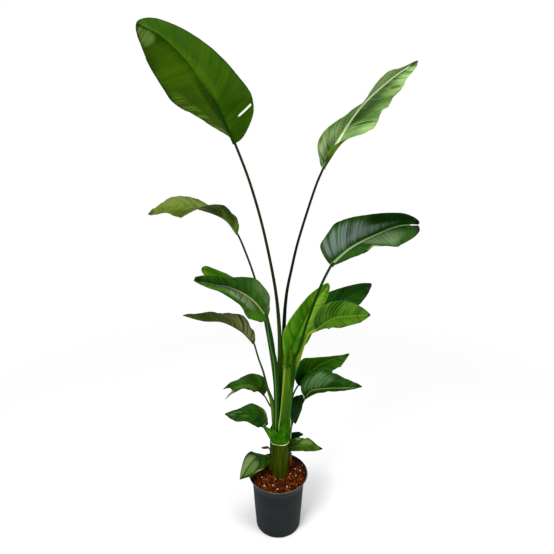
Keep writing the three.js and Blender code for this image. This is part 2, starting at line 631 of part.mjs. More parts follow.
// Stalks that clasp the same stem: each one is cut back where those before it stand.
const CLASPING_ORDER = ["09", "17", "05", "03", "01", "02", "07", "04", "16", "06", "10",
  "14", "15", "13", "18", "19", "08", "11", "12"];
const byNumber = (number) => LEAVES.find((leaf) => leaf.name.startsWith(`leaf_${number}`));
const placed = [];
for (const leaf of CLASPING_ORDER.map(byNumber)) {
  let body = stalkOf(leaf).add(bladeOf(leaf));
  if (leaf.name === "leaf_10_collar") {
    body = body.add(collarCup());
  } else {
    for (const stem of STEMS) body = body.subtract(stemBody(stem, CLEARANCE));
  }
  for (const earlier of placed) body = body.subtract(stalkOf(earlier, CLEARANCE));
  if (leaf.slit) body = body.subtract(slitOf(leaf));
  add(leaf.name, toGeometry(largestBody(body)), skin(leaf.color, 0.4));
  placed.push(leaf);
}

export default plant;
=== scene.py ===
"""A potted bird of paradise plant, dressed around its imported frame.

A tapered black nursery pot holds coir soil, an olive stem of old leaf bases and two side shoots.
From them rise paddle leaves on long stalks, in a fan along X. Tables are in millimetres, meshes in
metres, +Z is up and the plant's display side faces -Y. The origin is the middle of the pot's foot.
"""
import logging
import math
from dataclasses import dataclass, field
from enum import Enum

import bpy
import numpy as np
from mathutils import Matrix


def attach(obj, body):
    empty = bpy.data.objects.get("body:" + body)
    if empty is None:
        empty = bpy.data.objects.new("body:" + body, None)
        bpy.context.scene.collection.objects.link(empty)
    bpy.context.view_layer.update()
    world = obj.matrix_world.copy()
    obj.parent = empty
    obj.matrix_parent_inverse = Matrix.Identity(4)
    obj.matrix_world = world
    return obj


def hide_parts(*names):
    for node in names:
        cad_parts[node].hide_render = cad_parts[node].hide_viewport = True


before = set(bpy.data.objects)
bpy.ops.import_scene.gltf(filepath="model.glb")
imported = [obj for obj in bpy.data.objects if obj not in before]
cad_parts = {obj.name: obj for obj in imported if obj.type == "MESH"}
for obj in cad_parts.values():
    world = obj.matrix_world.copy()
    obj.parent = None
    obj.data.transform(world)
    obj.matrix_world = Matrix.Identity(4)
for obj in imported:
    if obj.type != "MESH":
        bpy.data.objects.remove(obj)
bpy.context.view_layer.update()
LOG = logging.getLogger("plant")

Array = np.ndarray
Material, Object = bpy.types.Material, bpy.types.Object
Socket, Tree = bpy.types.NodeSocket, bpy.types.NodeTree
Row = tuple[float, ...]
Pairs = tuple[tuple[float, float], ...]
Triples = tuple[tuple[float, float, float], ...]

MM = 0.001
STEM_TOP = 406.0
STEM_X = 7.0
SOIL_LEVEL = 239.0
SOIL_CROWN = 6.0
BLADE_THICKNESS = 0.9
LEAF_IOR = 1.45
UP = np.array([0.0, 0.0, 1.0])
# the two values that a mesh keeps at each point for its materials
KEPT = ("grown_mm", "grown_uv")
# wavelengths of a blade's broad, fine and marginal waves
SWELL_MM, PLEAT_MM, FRILL_MM = (83, 47), (17, 9.3, 5.1), (29, 12.7)
# half the share of the way to the tip between the two rows of points at a tear
TEAR = 0.0004
# cycles per metre along the midrib and across it, and detail, of a blade's bands, streaks,
# clouds and stripes
BLADE_NOISE = (((50, 9, 0), 2), ((290, 12, 0), 3), ((16, 16, 0), 3), ((170, 6, 0), 2))
# half-width in metres of the midrib's pale line at the foot and how much it loses to the tip
RIB_LINE, RIB_LOSS = 0.0032, 0.0022


# ------------------------------------------------------------------ colour and shader helpers
def linear(hex_color: str) -> tuple[float, float, float, float]:
    """The scene-linear colour of an sRGB hex value.

    Args:
        hex_color: six hex digits, with or without a leading hash.

    Returns:
        Red, green, blue and an alpha of 1.
    """
    digits = hex_color.lstrip("#")
    values = [int(digits[i:i + 2], 16) / 255 for i in (0, 2, 4)]
    curve = [v / 12.92 if v <= 0.04045 else ((v + 0.055) / 1.055) ** 2.4 for v in values]
    return (*curve, 1.0)


STEP = {"interpolation_type": "SMOOTHSTEP"}
BLEND = {"out": 2, "data_type": "RGBA"}
TIMES = {"operation": "MULTIPLY"}
TIMES_PLUS = {"operation": "MULTIPLY_ADD"}


def add(tree: Tree, kind: str, links: dict[int | str, object] | None = None,
        out: int | str | None = 0, **settings: object) -> Socket | None:
    """Adds one shader node, with its settings, and links or fills its inputs.

    Args:
        tree: the material's node tree.
        kind: the node's type name, without ShaderNode.
        links: input name or number to a socket, which is linked, or a value, which is set. A
            string is an sRGB hex colour.
        out: name or number of the output that is handed back, or None for an end node.
        settings: properties of the node.

    Returns:
        The output socket asked for, if any.
    """
    node = tree.nodes.new("ShaderNode" + kind)
    for name, value in settings.items():
        setattr(node, name, value)
    for name, value in (links or {}).items():
        value = linear(value) if isinstance(value, str) else value
        if isinstance(value, Socket):
            tree.links.new(value, node.inputs[name])
        else:
            node.inputs[name].default_value = value
    return None if out is None else node.outputs[out]


def new_material(name: str) -> tuple[Material, Tree]:
    """An empty node material and its tree.

    Args:
        name: the material's name.

    Returns:
        The material and its cleared node tree.
    """
    material = bpy.data.materials.new(name)
    material.use_nodes = True
    material.node_tree.nodes.clear()
    return material, material.node_tree


def lay_over(tree: Tree, color: Socket | str, top: Socket | str, value: Socket,
             bounds: tuple[float, float], amount: float = 1.0) -> Socket:
    """Lays a colour over another where a value goes from one bound to the other.

    Args:
        tree: the material's node tree.
        color: the colour below.
        top: the colour laid over it.
        value: what decides where, by a smooth step between the bounds.
        bounds: the values at which the upper colour starts and is at its full amount.
        amount: how much of the upper colour there is past the second bound.

    Returns:
        The mixed colour.
    """
    share = add(tree, "MapRange", {0: value, 1: bounds[0], 2: bounds[1], 4: amount}, **STEP)
    return add(tree, "Mix", {0: share, 6: color, 7: top}, **BLEND)


def surface(tree: Tree, color: Socket, roughness: Socket | float, relief: Socket,
            bump: tuple[float, float], gloss: float, ior: float = LEAF_IOR) -> None:
    """Ends a material with a bumped surface.

    Args:
        tree: the material's node tree.
        color: its base colour.
        roughness: its roughness.
        relief: what raises it.
        bump: the strength of the relief, and its height in metres.
        gloss: its specular level.
        ior: its index of refraction.
    """
    normal = add(tree, "Bump", {"Strength": bump[0], "Distance": bump[1], "Height": relief})
    shader = add(tree, "BsdfPrincipled", {"Base Color": color, "Roughness": roughness,
                                          "Normal": normal, "IOR": ior,
                                          "Specular IOR Level": gloss})
    add(tree, "OutputMaterial", {"Surface": shader}, out=None)


# ------------------------------------------------------------------ curves and meshes
def unit(v: Array) -> Array:
    """Vectors scaled to length 1 along the last axis."""
    return v / np.maximum(np.linalg.norm(v, axis=-1, keepdims=True), 1e-12)


def stacked(*parts: Array | float) -> Array:
    """Arrays and numbers spread to one shape and stacked along a new last axis."""
    return np.stack(np.broadcast_arrays(*parts), axis=-1)


def circle(count: int) -> Array:
    """The angles of a number of points spread evenly round a circle, as one row."""
    return np.arange(count)[None] / count * math.tau


def around(radius: Array | float, angles: Array, z: Array | float) -> Array:
    """Points round the Z axis, at a radius, at angles and at a height."""
    return stacked(radius * np.cos(angles), radius * np.sin(angles), z)


def ease(x: Array) -> Array:
    """The smooth step 3x^2 - 2x^3 of x held between 0 and 1."""
    x = np.clip(x, 0, 1)
    return x * x * (3 - 2 * x)


def bell(x: Array) -> Array:
    """The Gaussian e^(-x^2), 1 at zero."""
    return np.exp(-x ** 2)


def ripple(x: Array, periods: Row, phase: float) -> Array:
    """The mean of sines of x with the given periods, each started at its own phase."""
    return sum(np.sin(math.tau * x / p + phase * (k + 1.7)) for k, p in enumerate(periods)) \
        / len(periods)


def catmull_rom(points: Array, t: Array) -> tuple[Array, Array]:
    """Places and headings on the smooth curve through some points.

    From p1 to p2 the curve is the cubic that leaves p1 along (p2 - p0) / 2 and reaches p2 along
    (p3 - p1) / 2. Past each end the neighbour is mirrored in the end point.

    Args:
        points: the points passed through, one row each.
        t: shares of the way, 0 to 1, with the same span for each pair of points.

    Returns:
        The places and the unit headings, in t's shape with a last axis of 3.
    """
    last = len(points) - 1
    padded = np.vstack([2 * points[0] - points[1], points, 2 * points[-1] - points[-2]])
    place = np.clip(t, 0, 1) * last
    span = np.minimum(place.astype(int), last - 1)
    w = (place - span)[..., None]
    p0, p1, p2, p3 = (padded[span + k] for k in range(4))
    leave, reach = (p2 - p0) / 2, (p3 - p1) / 2
    cube = 2 * (p1 - p2) + leave + reach
    square = 3 * (p2 - p1) - 2 * leave - reach
    spot = ((cube * w + square) * w + leave) * w + p1
    heading = (3 * cube * w + 2 * square) * w + leave
    return spot, unit(heading)


class Rib:
    """The curve of a midrib, read by share of its length."""

    def __init__(self, points: Array) -> None:
        """Measures the curve.

        Args:
            points: the points it passes through, in millimetres.
        """
        self.points = points
        self.steps = np.linspace(0, 1, 401)
        spots, _ = catmull_rom(points, self.steps)
        self.run = np.r_[0, np.cumsum(np.linalg.norm(np.diff(spots, axis=0), axis=1))]
        self.length = self.run[-1]

    def at(self, share: Array) -> tuple[Array, Array]:
        """Places and headings at shares of the length."""
        return catmull_rom(self.points, np.interp(share * self.length, self.run, self.steps))


def stations(values: Row, u: Array) -> Array:
    """Values at u (0 to 1) between evenly spaced stations, joined by straight lines."""
    return np.interp(u, np.linspace(0, 1, len(values)), np.asarray(values, float))


def smooth_stations(values: Row, u: Array) -> Array:
    """Values at u (0 to 1) between evenly spaced stations, joined by a smooth curve."""
    return catmull_rom(stacked(np.asarray(values, float), 0, 0), u)[0][..., 0]


def grid_normals(grid: Array) -> Array:
    """Unit normals of a grid of points: sideways step x forward step, as central differences."""
    return unit(np.cross(np.gradient(grid, axis=1), np.gradient(grid, axis=0)))


def grid_quads(rows: int, columns: int, wrap: bool = False) -> Array:
    """Quads of a grid of points, in rows, that face along sideways x forward.

    Args:
        rows: number of rows of points.
        columns: points in a row.
        wrap: whether the last column joins the first.

    Returns:
        One row of four point numbers for each quad.
    """
    i, j = np.meshgrid(np.arange(rows - 1), np.arange(columns if wrap else columns - 1),
                       indexing="ij")
    k = (j + 1) % columns
    quads = stacked(i * columns + j, i * columns + k, (i + 1) * columns + k, (i + 1) * columns + j)
    return quads.reshape(-1, 4)


@dataclass
class Skin:
    """Points and faces that grow piece by piece, with two values kept at each point.

    mm holds real distances in metres, and uv holds shares, as the materials read them.
    """

    points: list[Array] = field(default_factory=list)
    quads: list[Array] = field(default_factory=list)
    caps: list[Array] = field(default_factory=list)
    slots: list[Array] = field(default_factory=list)
    mm: list[Array] = field(default_factory=list)
    uv: list[Array] = field(default_factory=list)
    count: int = 0

    def join(self, points: Array, quads: Array, mm: Array, uv: Array, slot: int = 0,
             caps: tuple[Array, ...] = ()) -> None:
        """Adds points and faces, all in one material slot.

        Args:
            points: a grid of points in millimetres.
            quads: four point numbers for each quad.
            mm: real distances at the points, or one value for all of them.
            uv: shares at the points, or one value for all of them.
            slot: the material slot.
            caps: the point numbers of each end face.
        """
        flat = points.reshape(-1, 3)
        self.points.append(flat * MM)
        self.quads.append(quads + self.count)
        self.caps.extend(cap + self.count for cap in caps)
        self.slots.append(np.full(len(quads), slot))
        for kept, values in ((self.mm, mm), (self.uv, uv)):
            kept.append(np.broadcast_to(values, points.shape).reshape(-1, 3))
        self.count += len(flat)

    def tube(self, rings: Array, mm: Array, uv: Array, slot: int = 0,
             closed: bool = True) -> None:
        """Adds a tube through rings of points.

        Args:
            rings: its points in millimetres, as rings by sides by 3.
            mm: real distances at the points.
            uv: shares at the points.
            slot: the tube's material slot.
            closed: whether it has a face at each end.
        """
        rows, sides = rings.shape[:2]
        ends = (np.arange(sides)[::-1], np.arange(sides) + (rows - 1) * sides)
        self.join(rings, grid_quads(rows, sides, wrap=True), mm, uv, slot,
                  ends if closed else ())

    def plate(self, grid: Array, lower: Array, keep: Array, mm: Array, uv: Array,
              slot: int = 0) -> None:
        """Adds a thin plate: an upper grid, a lower grid and a wall round every open edge.

        An edge a to b of an upper quad is open where no quad has b to a. The wall there is the
        quad b, a, a below, b below. The third value of mm is 1 on the lower grid.

        Args:
            grid: the upper grid of points.
            lower: the lower one.
            keep: which quads there are.
            mm: real distances at the points of both.
            uv: shares at the points of both.
            slot: the plate's material slot.
        """
        size = grid[..., 0].size
        upper = grid_quads(*grid.shape[:2])[keep.ravel()]
        edges = np.concatenate([upper[:, [k, (k + 1) % 4]] for k in range(4)])
        code, twin = edges @ (size, 1), edges @ (1, size)
        a, b = edges[~np.isin(code, twin)].T
        walls = np.stack([b, a, a + size, b + size], axis=1)
        quads = np.concatenate([upper, upper[:, ::-1] + size, walls])
        below = mm.copy()
        below[..., 2] = 1
        self.join(np.stack([grid, lower]), quads, np.stack([mm, below]), np.stack([uv, uv]), slot)

    def piece(self, name: str, materials: list[Material], sharp: float = 50,
              smooth: bool = True) -> Object:
        """The finished object, linked to the scene.

        Args:
            name: the piece's name.
            materials: one for each slot.
            sharp: degrees between faces past which an edge stays sharp.
            smooth: whether faces are shaded smooth.

        Returns:
            The mesh object, at the origin.
        """
        mesh = bpy.data.meshes.new(name)
        faces = np.concatenate(self.quads).tolist() + [cap.tolist() for cap in self.caps]
        mesh.from_pydata(np.concatenate(self.points), [], faces)
        slots = np.concatenate([*self.slots, np.full(len(self.caps), self.slots[-1][0])])
        mesh.polygons.foreach_set("material_index", slots.astype(np.int32))
        mesh.polygons.foreach_set("use_smooth", np.full(len(faces), smooth))
        for label, values in zip(KEPT, (self.mm, self.uv)):
            layer = mesh.attributes.new(label, "FLOAT_VECTOR", "POINT")
            layer.data.foreach_set("vector", np.concatenate(values).astype(np.float32).ravel())
        for material in materials:
            mesh.materials.append(material)
        if smooth:
            mesh.set_sharp_from_angle(angle=math.radians(sharp))
        mesh.update()
        piece = bpy.data.objects.new(name, mesh)
        bpy.context.scene.collection.objects.link(piece)
        return piece


def ride_and_slot(piece: Object, node: str) -> Object:
    """Lets a piece stand for a CAD node: hangs it under the root body and hides the node.

    Args:
        piece: the mesh object.
        node: the CAD node that it replaces.

    Returns:
        The same object.
    """
    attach(piece, "root")
    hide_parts(node)
    LOG.info("%s: %d faces", piece.name, len(piece.data.polygons))
    return piece


def oval_rings(points: Array, radii: Array, t: Array, angles: Array,
               swell: Array | float = 1.0) -> Array:
    """Rings of an oval rod along a curve.

    At each ring d is +Y made square to the heading h, and a = d x h. The ring is
    centre + a rx cos(angle) + d ry sin(angle), times swell.

    Args:
        points: points that the rod passes through.
        radii: half-widths across and from front to back, at each point.
        t: where the rings stand, 0 to 1.
        angles: where a ring's points stand, in radians.
        swell: factor on the half-widths, of shape rings by angles.

    Returns:
        An array of rings by angles by 3.
    """
    centre, heading = catmull_rom(points, t)
    depth = unit(np.array([0.0, 1.0, 0.0]) - heading * heading[:, 1:2])
    across = np.cross(depth, heading)
    rx, ry = (stations(radii[:, k], t)[:, None] for k in (0, 1))
    return centre[:, None] + across[:, None] * (rx * swell * np.cos(angles))[..., None] \
        + depth[:, None] * (ry * swell * np.sin(angles))[..., None]


# ------------------------------------------------------------------ leaf finishes
class Face(Enum):
    """The upper or the under face of a blade."""

    UPPER = 0
    UNDER = 1


class Side(Enum):
    """One half of a blade, looking at its upper face with the tip up."""

    LEFT = -1
    RIGHT = 1


@dataclass(frozen=True)
class Patch:
    """A soft-edged oval of another colour on a blade.

    along is its centre and half-size from 0 at the stalk to 1 at the tip, and across the same
    from -1 at the left margin to 1 at the right one. streak is how far stripes along the side
    veins break it, as where light glints on some pleats only. A patch is a blotch of the blade's
    own colour, or painted light: a painted sheen or glint, or painted shade.
    """

    color: str
    along: tuple[float, float]
    across: tuple[float, float]
    amount: float
    streak: float


@dataclass(frozen=True)
class LeafFinish:
    """A leathery leaf: waxy cuticle over slanting side veins, with its stalk.

    What it gives the eye is a half-gloss green with fine pale and dark stripes that run from the
    midrib to the margin, a paler midrib, and a matter, duller underside. Patches lay other colours
    over one face: blotches of the blade's own colour and, on many leaves, painted light, that is a
    painted grey or pale sheen where the lamps glint on the cuticle and painted shade in folds and
    over shaded parts. vein_mm is the real distance between the bigger side veins. rib_turn is the
    station at which the midrib changes colour, and stalk_turn the shares of the stalk's height
    between which its colour does. seam is the colour of a stripe that runs up the stalk at the
    share edge_or_highlight_at of the way round: the sheath's thin pale edge, or on some leaves a
    painted highlight. patched_face is the face that the patches lie on.
    """

    name: str
    deep: str = "#1f4a12"
    light: str = "#3a7020"
    under_deep: str = "#2c5210"
    under_light: str = "#4c7a24"
    rib: str = "#8fae62"
    rib_far: str = ""
    rib_width: float = 1.0
    rib_under: str = "#6c8f3a"
    rib_under_far: str = ""
    rib_turn: float = 0.7
    margin: str = "#3c5a1c"
    margin_amount: float = 0.4
    tip: str = "#3a3312"
    tip_from: float = 0.985
    roughness: float = 0.46
    under_roughness: float = 0.55
    gloss: float = 0.05
    vein_mm: float = 9.0
    vein_amount: float = 0.35
    stalk_low: str = "#2f5a14"
    stalk_high: str = "#1c3d12"
    stalk_turn: tuple[float, float] = (0.2, 0.75)
    edge_or_highlight: str = ""
    edge_or_highlight_at: float = 0.6
    patched_face: Face = Face.UPPER
    patches: tuple[Patch, ...] = ()

    def patched(self, tree: Tree, color: Socket, share: Socket, stripe: Socket) -> Socket:
        """Lays the patches over the colour of their face.

        How far a point lies out in a patch is the length of its offset from the patch's centre,
        in half-sizes, less half the stripe noise. The patch fades between 0.25 and 0.75 of that.

        Args:
            tree: the blade's node tree.
            color: the face's colour so far.
            share: station and across of the point, as a vector.
            stripe: noise drawn out along the side veins, 0 to 1.

        Returns:
            The colour with the patches.
        """
        for patch in self.patches:
            (s, ds), (a, da) = patch.along, patch.across
            off = add(tree, "VectorMath", {0: share, 1: (1 / ds, 1 / da, 0),
                                           2: (-s / ds, -a / da, 0)}, **TIMES_PLUS)
            far = add(tree, "VectorMath", {0: off}, out="Value", operation="LENGTH")
            far = add(tree, "Math", {0: stripe, 1: -0.5, 2: far}, **TIMES_PLUS)
            edge = add(tree, "MapRange", {0: far, 1: 0.75, 2: 0.25, 4: patch.amount}, **STEP)
            gaps = add(tree, "MapRange", {0: stripe, 1: 0.4, 2: 0.56, 3: 1 - patch.streak}, **STEP)
            edge = add(tree, "Math", {0: edge, 1: gaps}, **TIMES)
            color = add(tree, "Mix", {0: edge, 6: color, 7: patch.color}, **BLEND)
        return color

    def blade(self) -> Material:
        """The blade's material.

        The two attributes give the distance along the midrib of the side vein through a point, the
        signed distance from the midrib and whether the point is below. Noise drawn out along the
        veins picks between the deep and the light green, and a ping-pong of the distance along the
        midrib draws the vein lines. Patches, midrib, margin and tip are mixed over that.

        Returns:
            The node material.
        """
        material, tree = new_material("leaf_cuticle_" + self.name)
        grown, share = (add(tree, "Attribute", out="Vector", attribute_name=k) for k in KEPT)
        along, lateral, under = (add(tree, "SeparateXYZ", {0: grown}, out=k) for k in range(3))
        station, across = (add(tree, "SeparateXYZ", {0: share}, out=k) for k in range(2))
        own = add(tree, "VectorMath", {0: share, 1: (0, 0, 1)}, **TIMES)
        looks = []
        for scale, detail in BLADE_NOISE:
            place = add(tree, "VectorMath", {0: grown, 1: scale, 2: own}, **TIMES_PLUS)
            looks.append(add(tree, "TexNoise", {"Vector": place, "Scale": 1, "Detail": detail}))
        band, streak, cloud, stripe = looks
        wander = add(tree, "Math", {0: band, 1: 0.004, 2: along}, **TIMES_PLUS)
        line = add(tree, "Math", {0: wander, 1: self.vein_mm * MM / 2}, operation="PINGPONG")
        vein = add(tree, "MapRange", {0: line, 1: self.vein_mm * MM * 0.24, 2: 0.0}, **STEP)
        drawn = add(tree, "Math", {0: vein, 1: self.vein_amount}, **TIMES)
        tone = add(tree, "Math", {0: band, 1: streak}, operation="ADD")
        tone = add(tree, "Math", {0: tone, 1: cloud}, operation="ADD")
        tone = add(tree, "MapRange", {0: tone, 1: 1.15, 2: 1.85}, **STEP)
        off_rib = add(tree, "Math", {0: lateral}, operation="ABSOLUTE")
        slim = add(tree, "Math", {0: station, 1: -RIB_LOSS * self.rib_width,
                                  2: RIB_LINE * self.rib_width}, **TIMES_PLUS)
        on_rib = add(tree, "Math", {0: off_rib, 1: slim}, operation="DIVIDE")
        on_rib = add(tree, "MapRange", {0: on_rib, 1: 1.25, 2: 0.75}, **STEP)
        turn = (self.rib_turn - 0.12, self.rib_turn + 0.12)
        faces = []
        for face, deep, light, line_color, near, tail in (
                (Face.UPPER, self.deep, self.light, self.light, self.rib, self.rib_far),
                (Face.UNDER, self.under_deep, self.under_light, self.under_deep,
                 self.rib_under, self.rib_under_far)):
            color = add(tree, "Mix", {0: tone, 6: deep, 7: light}, **BLEND)
            color = add(tree, "Mix", {0: drawn, 6: color, 7: line_color}, **BLEND)
            if face is self.patched_face:
                color = self.patched(tree, color, share, stripe)
            rib = lay_over(tree, near, tail or near, station, turn)
            faces.append(add(tree, "Mix", {0: on_rib, 6: color, 7: rib}, **BLEND))
        color = add(tree, "Mix", {0: under, 6: faces[0], 7: faces[1]}, **BLEND)
        edge = add(tree, "Math", {0: across}, operation="ABSOLUTE")
        color = lay_over(tree, color, self.margin, edge, (0.95, 0.99), self.margin_amount)
        ragged = add(tree, "Math", {0: cloud, 1: 0.03, 2: station}, **TIMES_PLUS)
        color = lay_over(tree, color, self.tip, ragged, (self.tip_from, self.tip_from + 0.03))
        matt = add(tree, "Math", {0: streak, 1: 0.16, 2: self.roughness - 0.08}, **TIMES_PLUS)
        matt = add(tree, "Math", {0: under, 1: self.under_roughness - self.roughness, 2: matt},
                   **TIMES_PLUS)
        relief = add(tree, "Math", {0: vein, 1: 0.8, 2: tone}, **TIMES_PLUS)
        surface(tree, color, matt, relief, (0.35, 0.0006), self.gloss)
        return material

    def stalk(self) -> Material:
        """The stalk's material: green that darkens upwards, with fine streaks along the fibres.

        grown_mm holds the distance up the stalk and round it, and grown_uv the share of its
        height, which picks between the sheath's green and the stalk's, and of the way round.
        Streaks are about 3 mm apart round the stalk and 110 mm long, and blotches 22 mm wide.

        Returns:
            The node material.
        """
        material, tree = new_material("leaf_stalk_" + self.name)
        grown, share = (add(tree, "Attribute", out="Vector", attribute_name=k) for k in KEPT)
        station, turn = (add(tree, "SeparateXYZ", {0: share}, out=k) for k in range(2))
        fibres = add(tree, "VectorMath", {0: grown, 1: (9, 330, 330)}, **TIMES)
        streak = add(tree, "TexNoise", {"Vector": fibres, "Scale": 1.0, "Detail": 3.0})
        spots = add(tree, "TexNoise", {"Vector": grown, "Scale": 45.0, "Detail": 2.0})
        height = add(tree, "Math", {0: spots, 1: 0.1, 2: station}, **TIMES_PLUS)
        low, high = self.stalk_turn
        color = lay_over(tree, self.stalk_low, self.stalk_high, height, (low + 0.05, high + 0.05))
        dark = add(tree, "Mix", {0: 0.4, 6: color, 7: "#071004"}, **BLEND)
        color = lay_over(tree, dark, color, streak, (0.35, 0.6))
        # a stripe up the stalk: the sheath's pale edge, or on some leaves a painted highlight
        if self.edge_or_highlight:
            off = add(tree, "Math", {0: turn, 1: self.edge_or_highlight_at}, operation="SUBTRACT")
            off = add(tree, "Math", {0: off}, operation="ABSOLUTE")
            color = lay_over(tree, color, self.edge_or_highlight, off, (0.05, 0.025), 0.85)
        matt = add(tree, "MapRange", {0: streak, 3: self.roughness + 0.06,
                                      4: self.roughness - 0.06})
        surface(tree, color, matt, streak, (0.3, 0.0004), self.gloss)
        return material


# ------------------------------------------------------------------ the finish of each leaf
TALL_LEFT = LeafFinish(
    # the dark under midrib below rib_turn is painted shade along the rib
    "tall_left", under_deep="#1f3d00", under_light="#325202", rib_under="#112e00",
    rib_under_far="#375403", rib_turn=0.5, margin="#0d1e01", margin_amount=0.8, vein_amount=0.15,
    tip="#1d3301", gloss=0.03, stalk_low="#325b08", stalk_high="#1d280c", stalk_turn=(0.25, 0.45),
    patched_face=Face.UNDER, patches=(
        Patch("#416203", (0.5, 0.5), (0.5, 0.55), 0.6, 0.2),
        Patch("#1c3700", (0.5, 0.6), (-0.65, 0.6), 0.5, 0.15),
        # painted highlights: glints on the pleats by the margin, near the foot and at the tip
        Patch("#6f9422", (0.33, 0.24), (0.84, 0.24), 0.6, 0.85),
        Patch("#6a8f2a", (0.1, 0.12), (0.75, 0.4), 0.6, 0.9),
        Patch("#86a552", (0.94, 0.08), (0.5, 0.5), 0.5, 0.5),
        # painted shade in a band beside the midrib
        Patch("#133100", (0.33, 0.36), (0.13, 0.17), 0.7, 0.2),
        Patch("#3c5502", (0.6, 0.2), (-0.12, 0.16), 0.4, 0.5)))
TALL_RIGHT = LeafFinish(
    "tall_right", under_deep="#264202", under_light="#5e7f16", deep="#38601c", light="#84a161",
    rib="#e6eecb", rib_width=2.3, margin="#637d43", margin_amount=0.5, tip="#465929",
    tip_from=0.96, vein_amount=0.45, stalk_low="#7c9c22", stalk_high="#0e1705",
    stalk_turn=(0.2, 0.3), patches=(
        # painted sheen: pale grey glints on the left half, broken by the veins
        Patch("#aebf8f", (0.22, 0.22), (-0.45, 0.5), 0.65, 1),
        Patch("#9cac7e", (0.62, 0.13), (-0.6, 0.6), 0.7, 0.6),
        # painted shade: dark lines in two folds of the right half
        Patch("#254408", (0.5, 0.018), (0.62, 0.4), 0.85, 0),
        Patch("#254408", (0.8, 0.016), (0.7, 0.32), 0.8, 0)))
RIGHT = LeafFinish(
    "right", deep="#0f2c05", light="#23480e", rib="#95a57a", rib_far="#708a60", rib_width=2.3,
    # the stalk's greens are darkened to take in the shadow beside it as well as its own colour:
    # partly painted shade
    margin="#0f2406", tip="#0f1a05", tip_from=0.975, stalk_low="#164403", stalk_high="#143404",
    stalk_turn=(0.3, 0.8), patches=(
        # painted sheen: grey glints of the lamps on the left half, broken by the veins
        Patch("#6f7e78", (0.36, 0.36), (-0.52, 0.46), 0.72, 0.75),
        Patch("#64736e", (0.62, 0.28), (-0.36, 0.22), 0.7, 0.6),
        Patch("#627162", (0.12, 0.12), (-0.7, 0.35), 0.7, 0.9),
        Patch("#072601", (0.82, 0.26), (-0.84, 0.42), 0.95, 0.1),
        Patch("#244804", (0.22, 0.26), (0.5, 0.5), 0.7, 0.2),
        Patch("#596e4d", (0.72, 0.22), (0.5, 0.5), 0.85, 0.4),
        Patch("#929f65", (0.57, 0.06), (0.98, 0.07), 0.6, 0.1)))
UPPER_LEFT = LeafFinish(
    "upper_left", deep="#2f4306", light="#586b22", under_deep="#253a07", under_light="#566c24",
    rib="#475a19", rib_under="#5a653c", margin="#2b3606", margin_amount=0.5, tip="#3c3916",
    tip_from=0.965, vein_amount=0.8, vein_mm=12, stalk_low="#2c5c0c", stalk_high="#1c2a0c",
    patches=(
        Patch("#586739", (0.75, 0.3), (0.6, 0.4), 0.5, 0.7),
        Patch("#273a05", (0.62, 0.2), (-0.8, 0.3), 0.6, 0.3)))
MIDDLE_LEFT = LeafFinish(
    "middle_left", deep="#1d420a", light="#406c1e", rib="#aeba7e", rib_far="#7a8d68",
    rib_width=1.3, margin="#1a340d", tip="#204814", tip_from=0.95, stalk_low="#143803",
    # the pale stripe up this stalk is a painted highlight
    stalk_high="#163a06", edge_or_highlight="#49702e", edge_or_highlight_at=0.7, patches=(
        # painted sheen: grey glints on the lower half, broken by the veins
        Patch("#879477", (0.6, 0.3), (-0.34, 0.34), 0.75, 0.8),
        Patch("#3c7c0d", (0.22, 0.2), (-0.6, 0.42), 0.75, 0.2),
        # painted shade along the lower margin, where it curls
        Patch("#0c2305", (0.68, 0.2), (-0.97, 0.2), 0.95, 0.1),
        Patch("#6f8458", (0.33, 0.22), (0.75, 0.3), 0.55, 0.9)))
BEHIND_LEFT = LeafFinish(
    "behind_left", deep="#1b4801", light="#476e0a", rib="#3a6107", margin="#243e02", tip="#2f4806",
    stalk_low="#2c5c10", stalk_high="#1f400c", patches=(
        Patch("#246101", (0.75, 0.3), (0.3, 0.5), 0.6, 0.3),))
LEFT = LeafFinish(
    "left", under_deep="#1a2502", under_light="#59622d", rib_under="#404215", margin="#1e2106",
    margin_amount=0.8, vein_amount=0.9, vein_mm=12, tip="#373515", stalk_low="#4c6e14",
    stalk_high="#2c4410", stalk_turn=(0.25, 0.5), patched_face=Face.UNDER, patches=(
        Patch("#7b8052", (0.27, 0.3), (-0.5, 0.7), 0.6, 0.95),
        Patch("#2b3c05", (0.8, 0.32), (-0.5, 0.8), 0.8, 0.3)))
LOW_LEFT = LeafFinish(
    "low_left", deep="#092601", light="#2b5007", rib="#254507", margin="#152302", tip="#323307",
    stalk_low="#2c4c10", stalk_high="#243c0e", patches=(
        Patch("#546c28", (0.6, 0.25), (-0.5, 0.42), 0.55, 0.6),
        Patch("#3b4d09", (0.5, 0.12), (0.2, 0.22), 0.35, 0.4)))
YOUNG = LeafFinish(
    "young", deep="#276205", light="#538610", under_deep="#276205", under_light="#538610",
    rib="#457d0d", margin="#93a541", margin_amount=0.7, vein_amount=0.2, tip="#537d1c",
    stalk_low="#1f4903", stalk_high="#4c6e03", stalk_turn=(0.1, 0.85), edge_or_highlight="#839d3e", edge_or_highlight_at=0.6,
    patches=(
        Patch("#195004", (0.13, 0.25), (-0.3, 0.7), 0.7, 0.1),
        Patch("#174103", (0, 0.13), (0, 1.6), 0.9, 0),
        Patch("#85a834", (0.72, 0.28), (0.5, 0.5), 0.75, 0.6),
        Patch("#789f25", (0.92, 0.15), (-0.1, 0.9), 0.65, 0.3)))
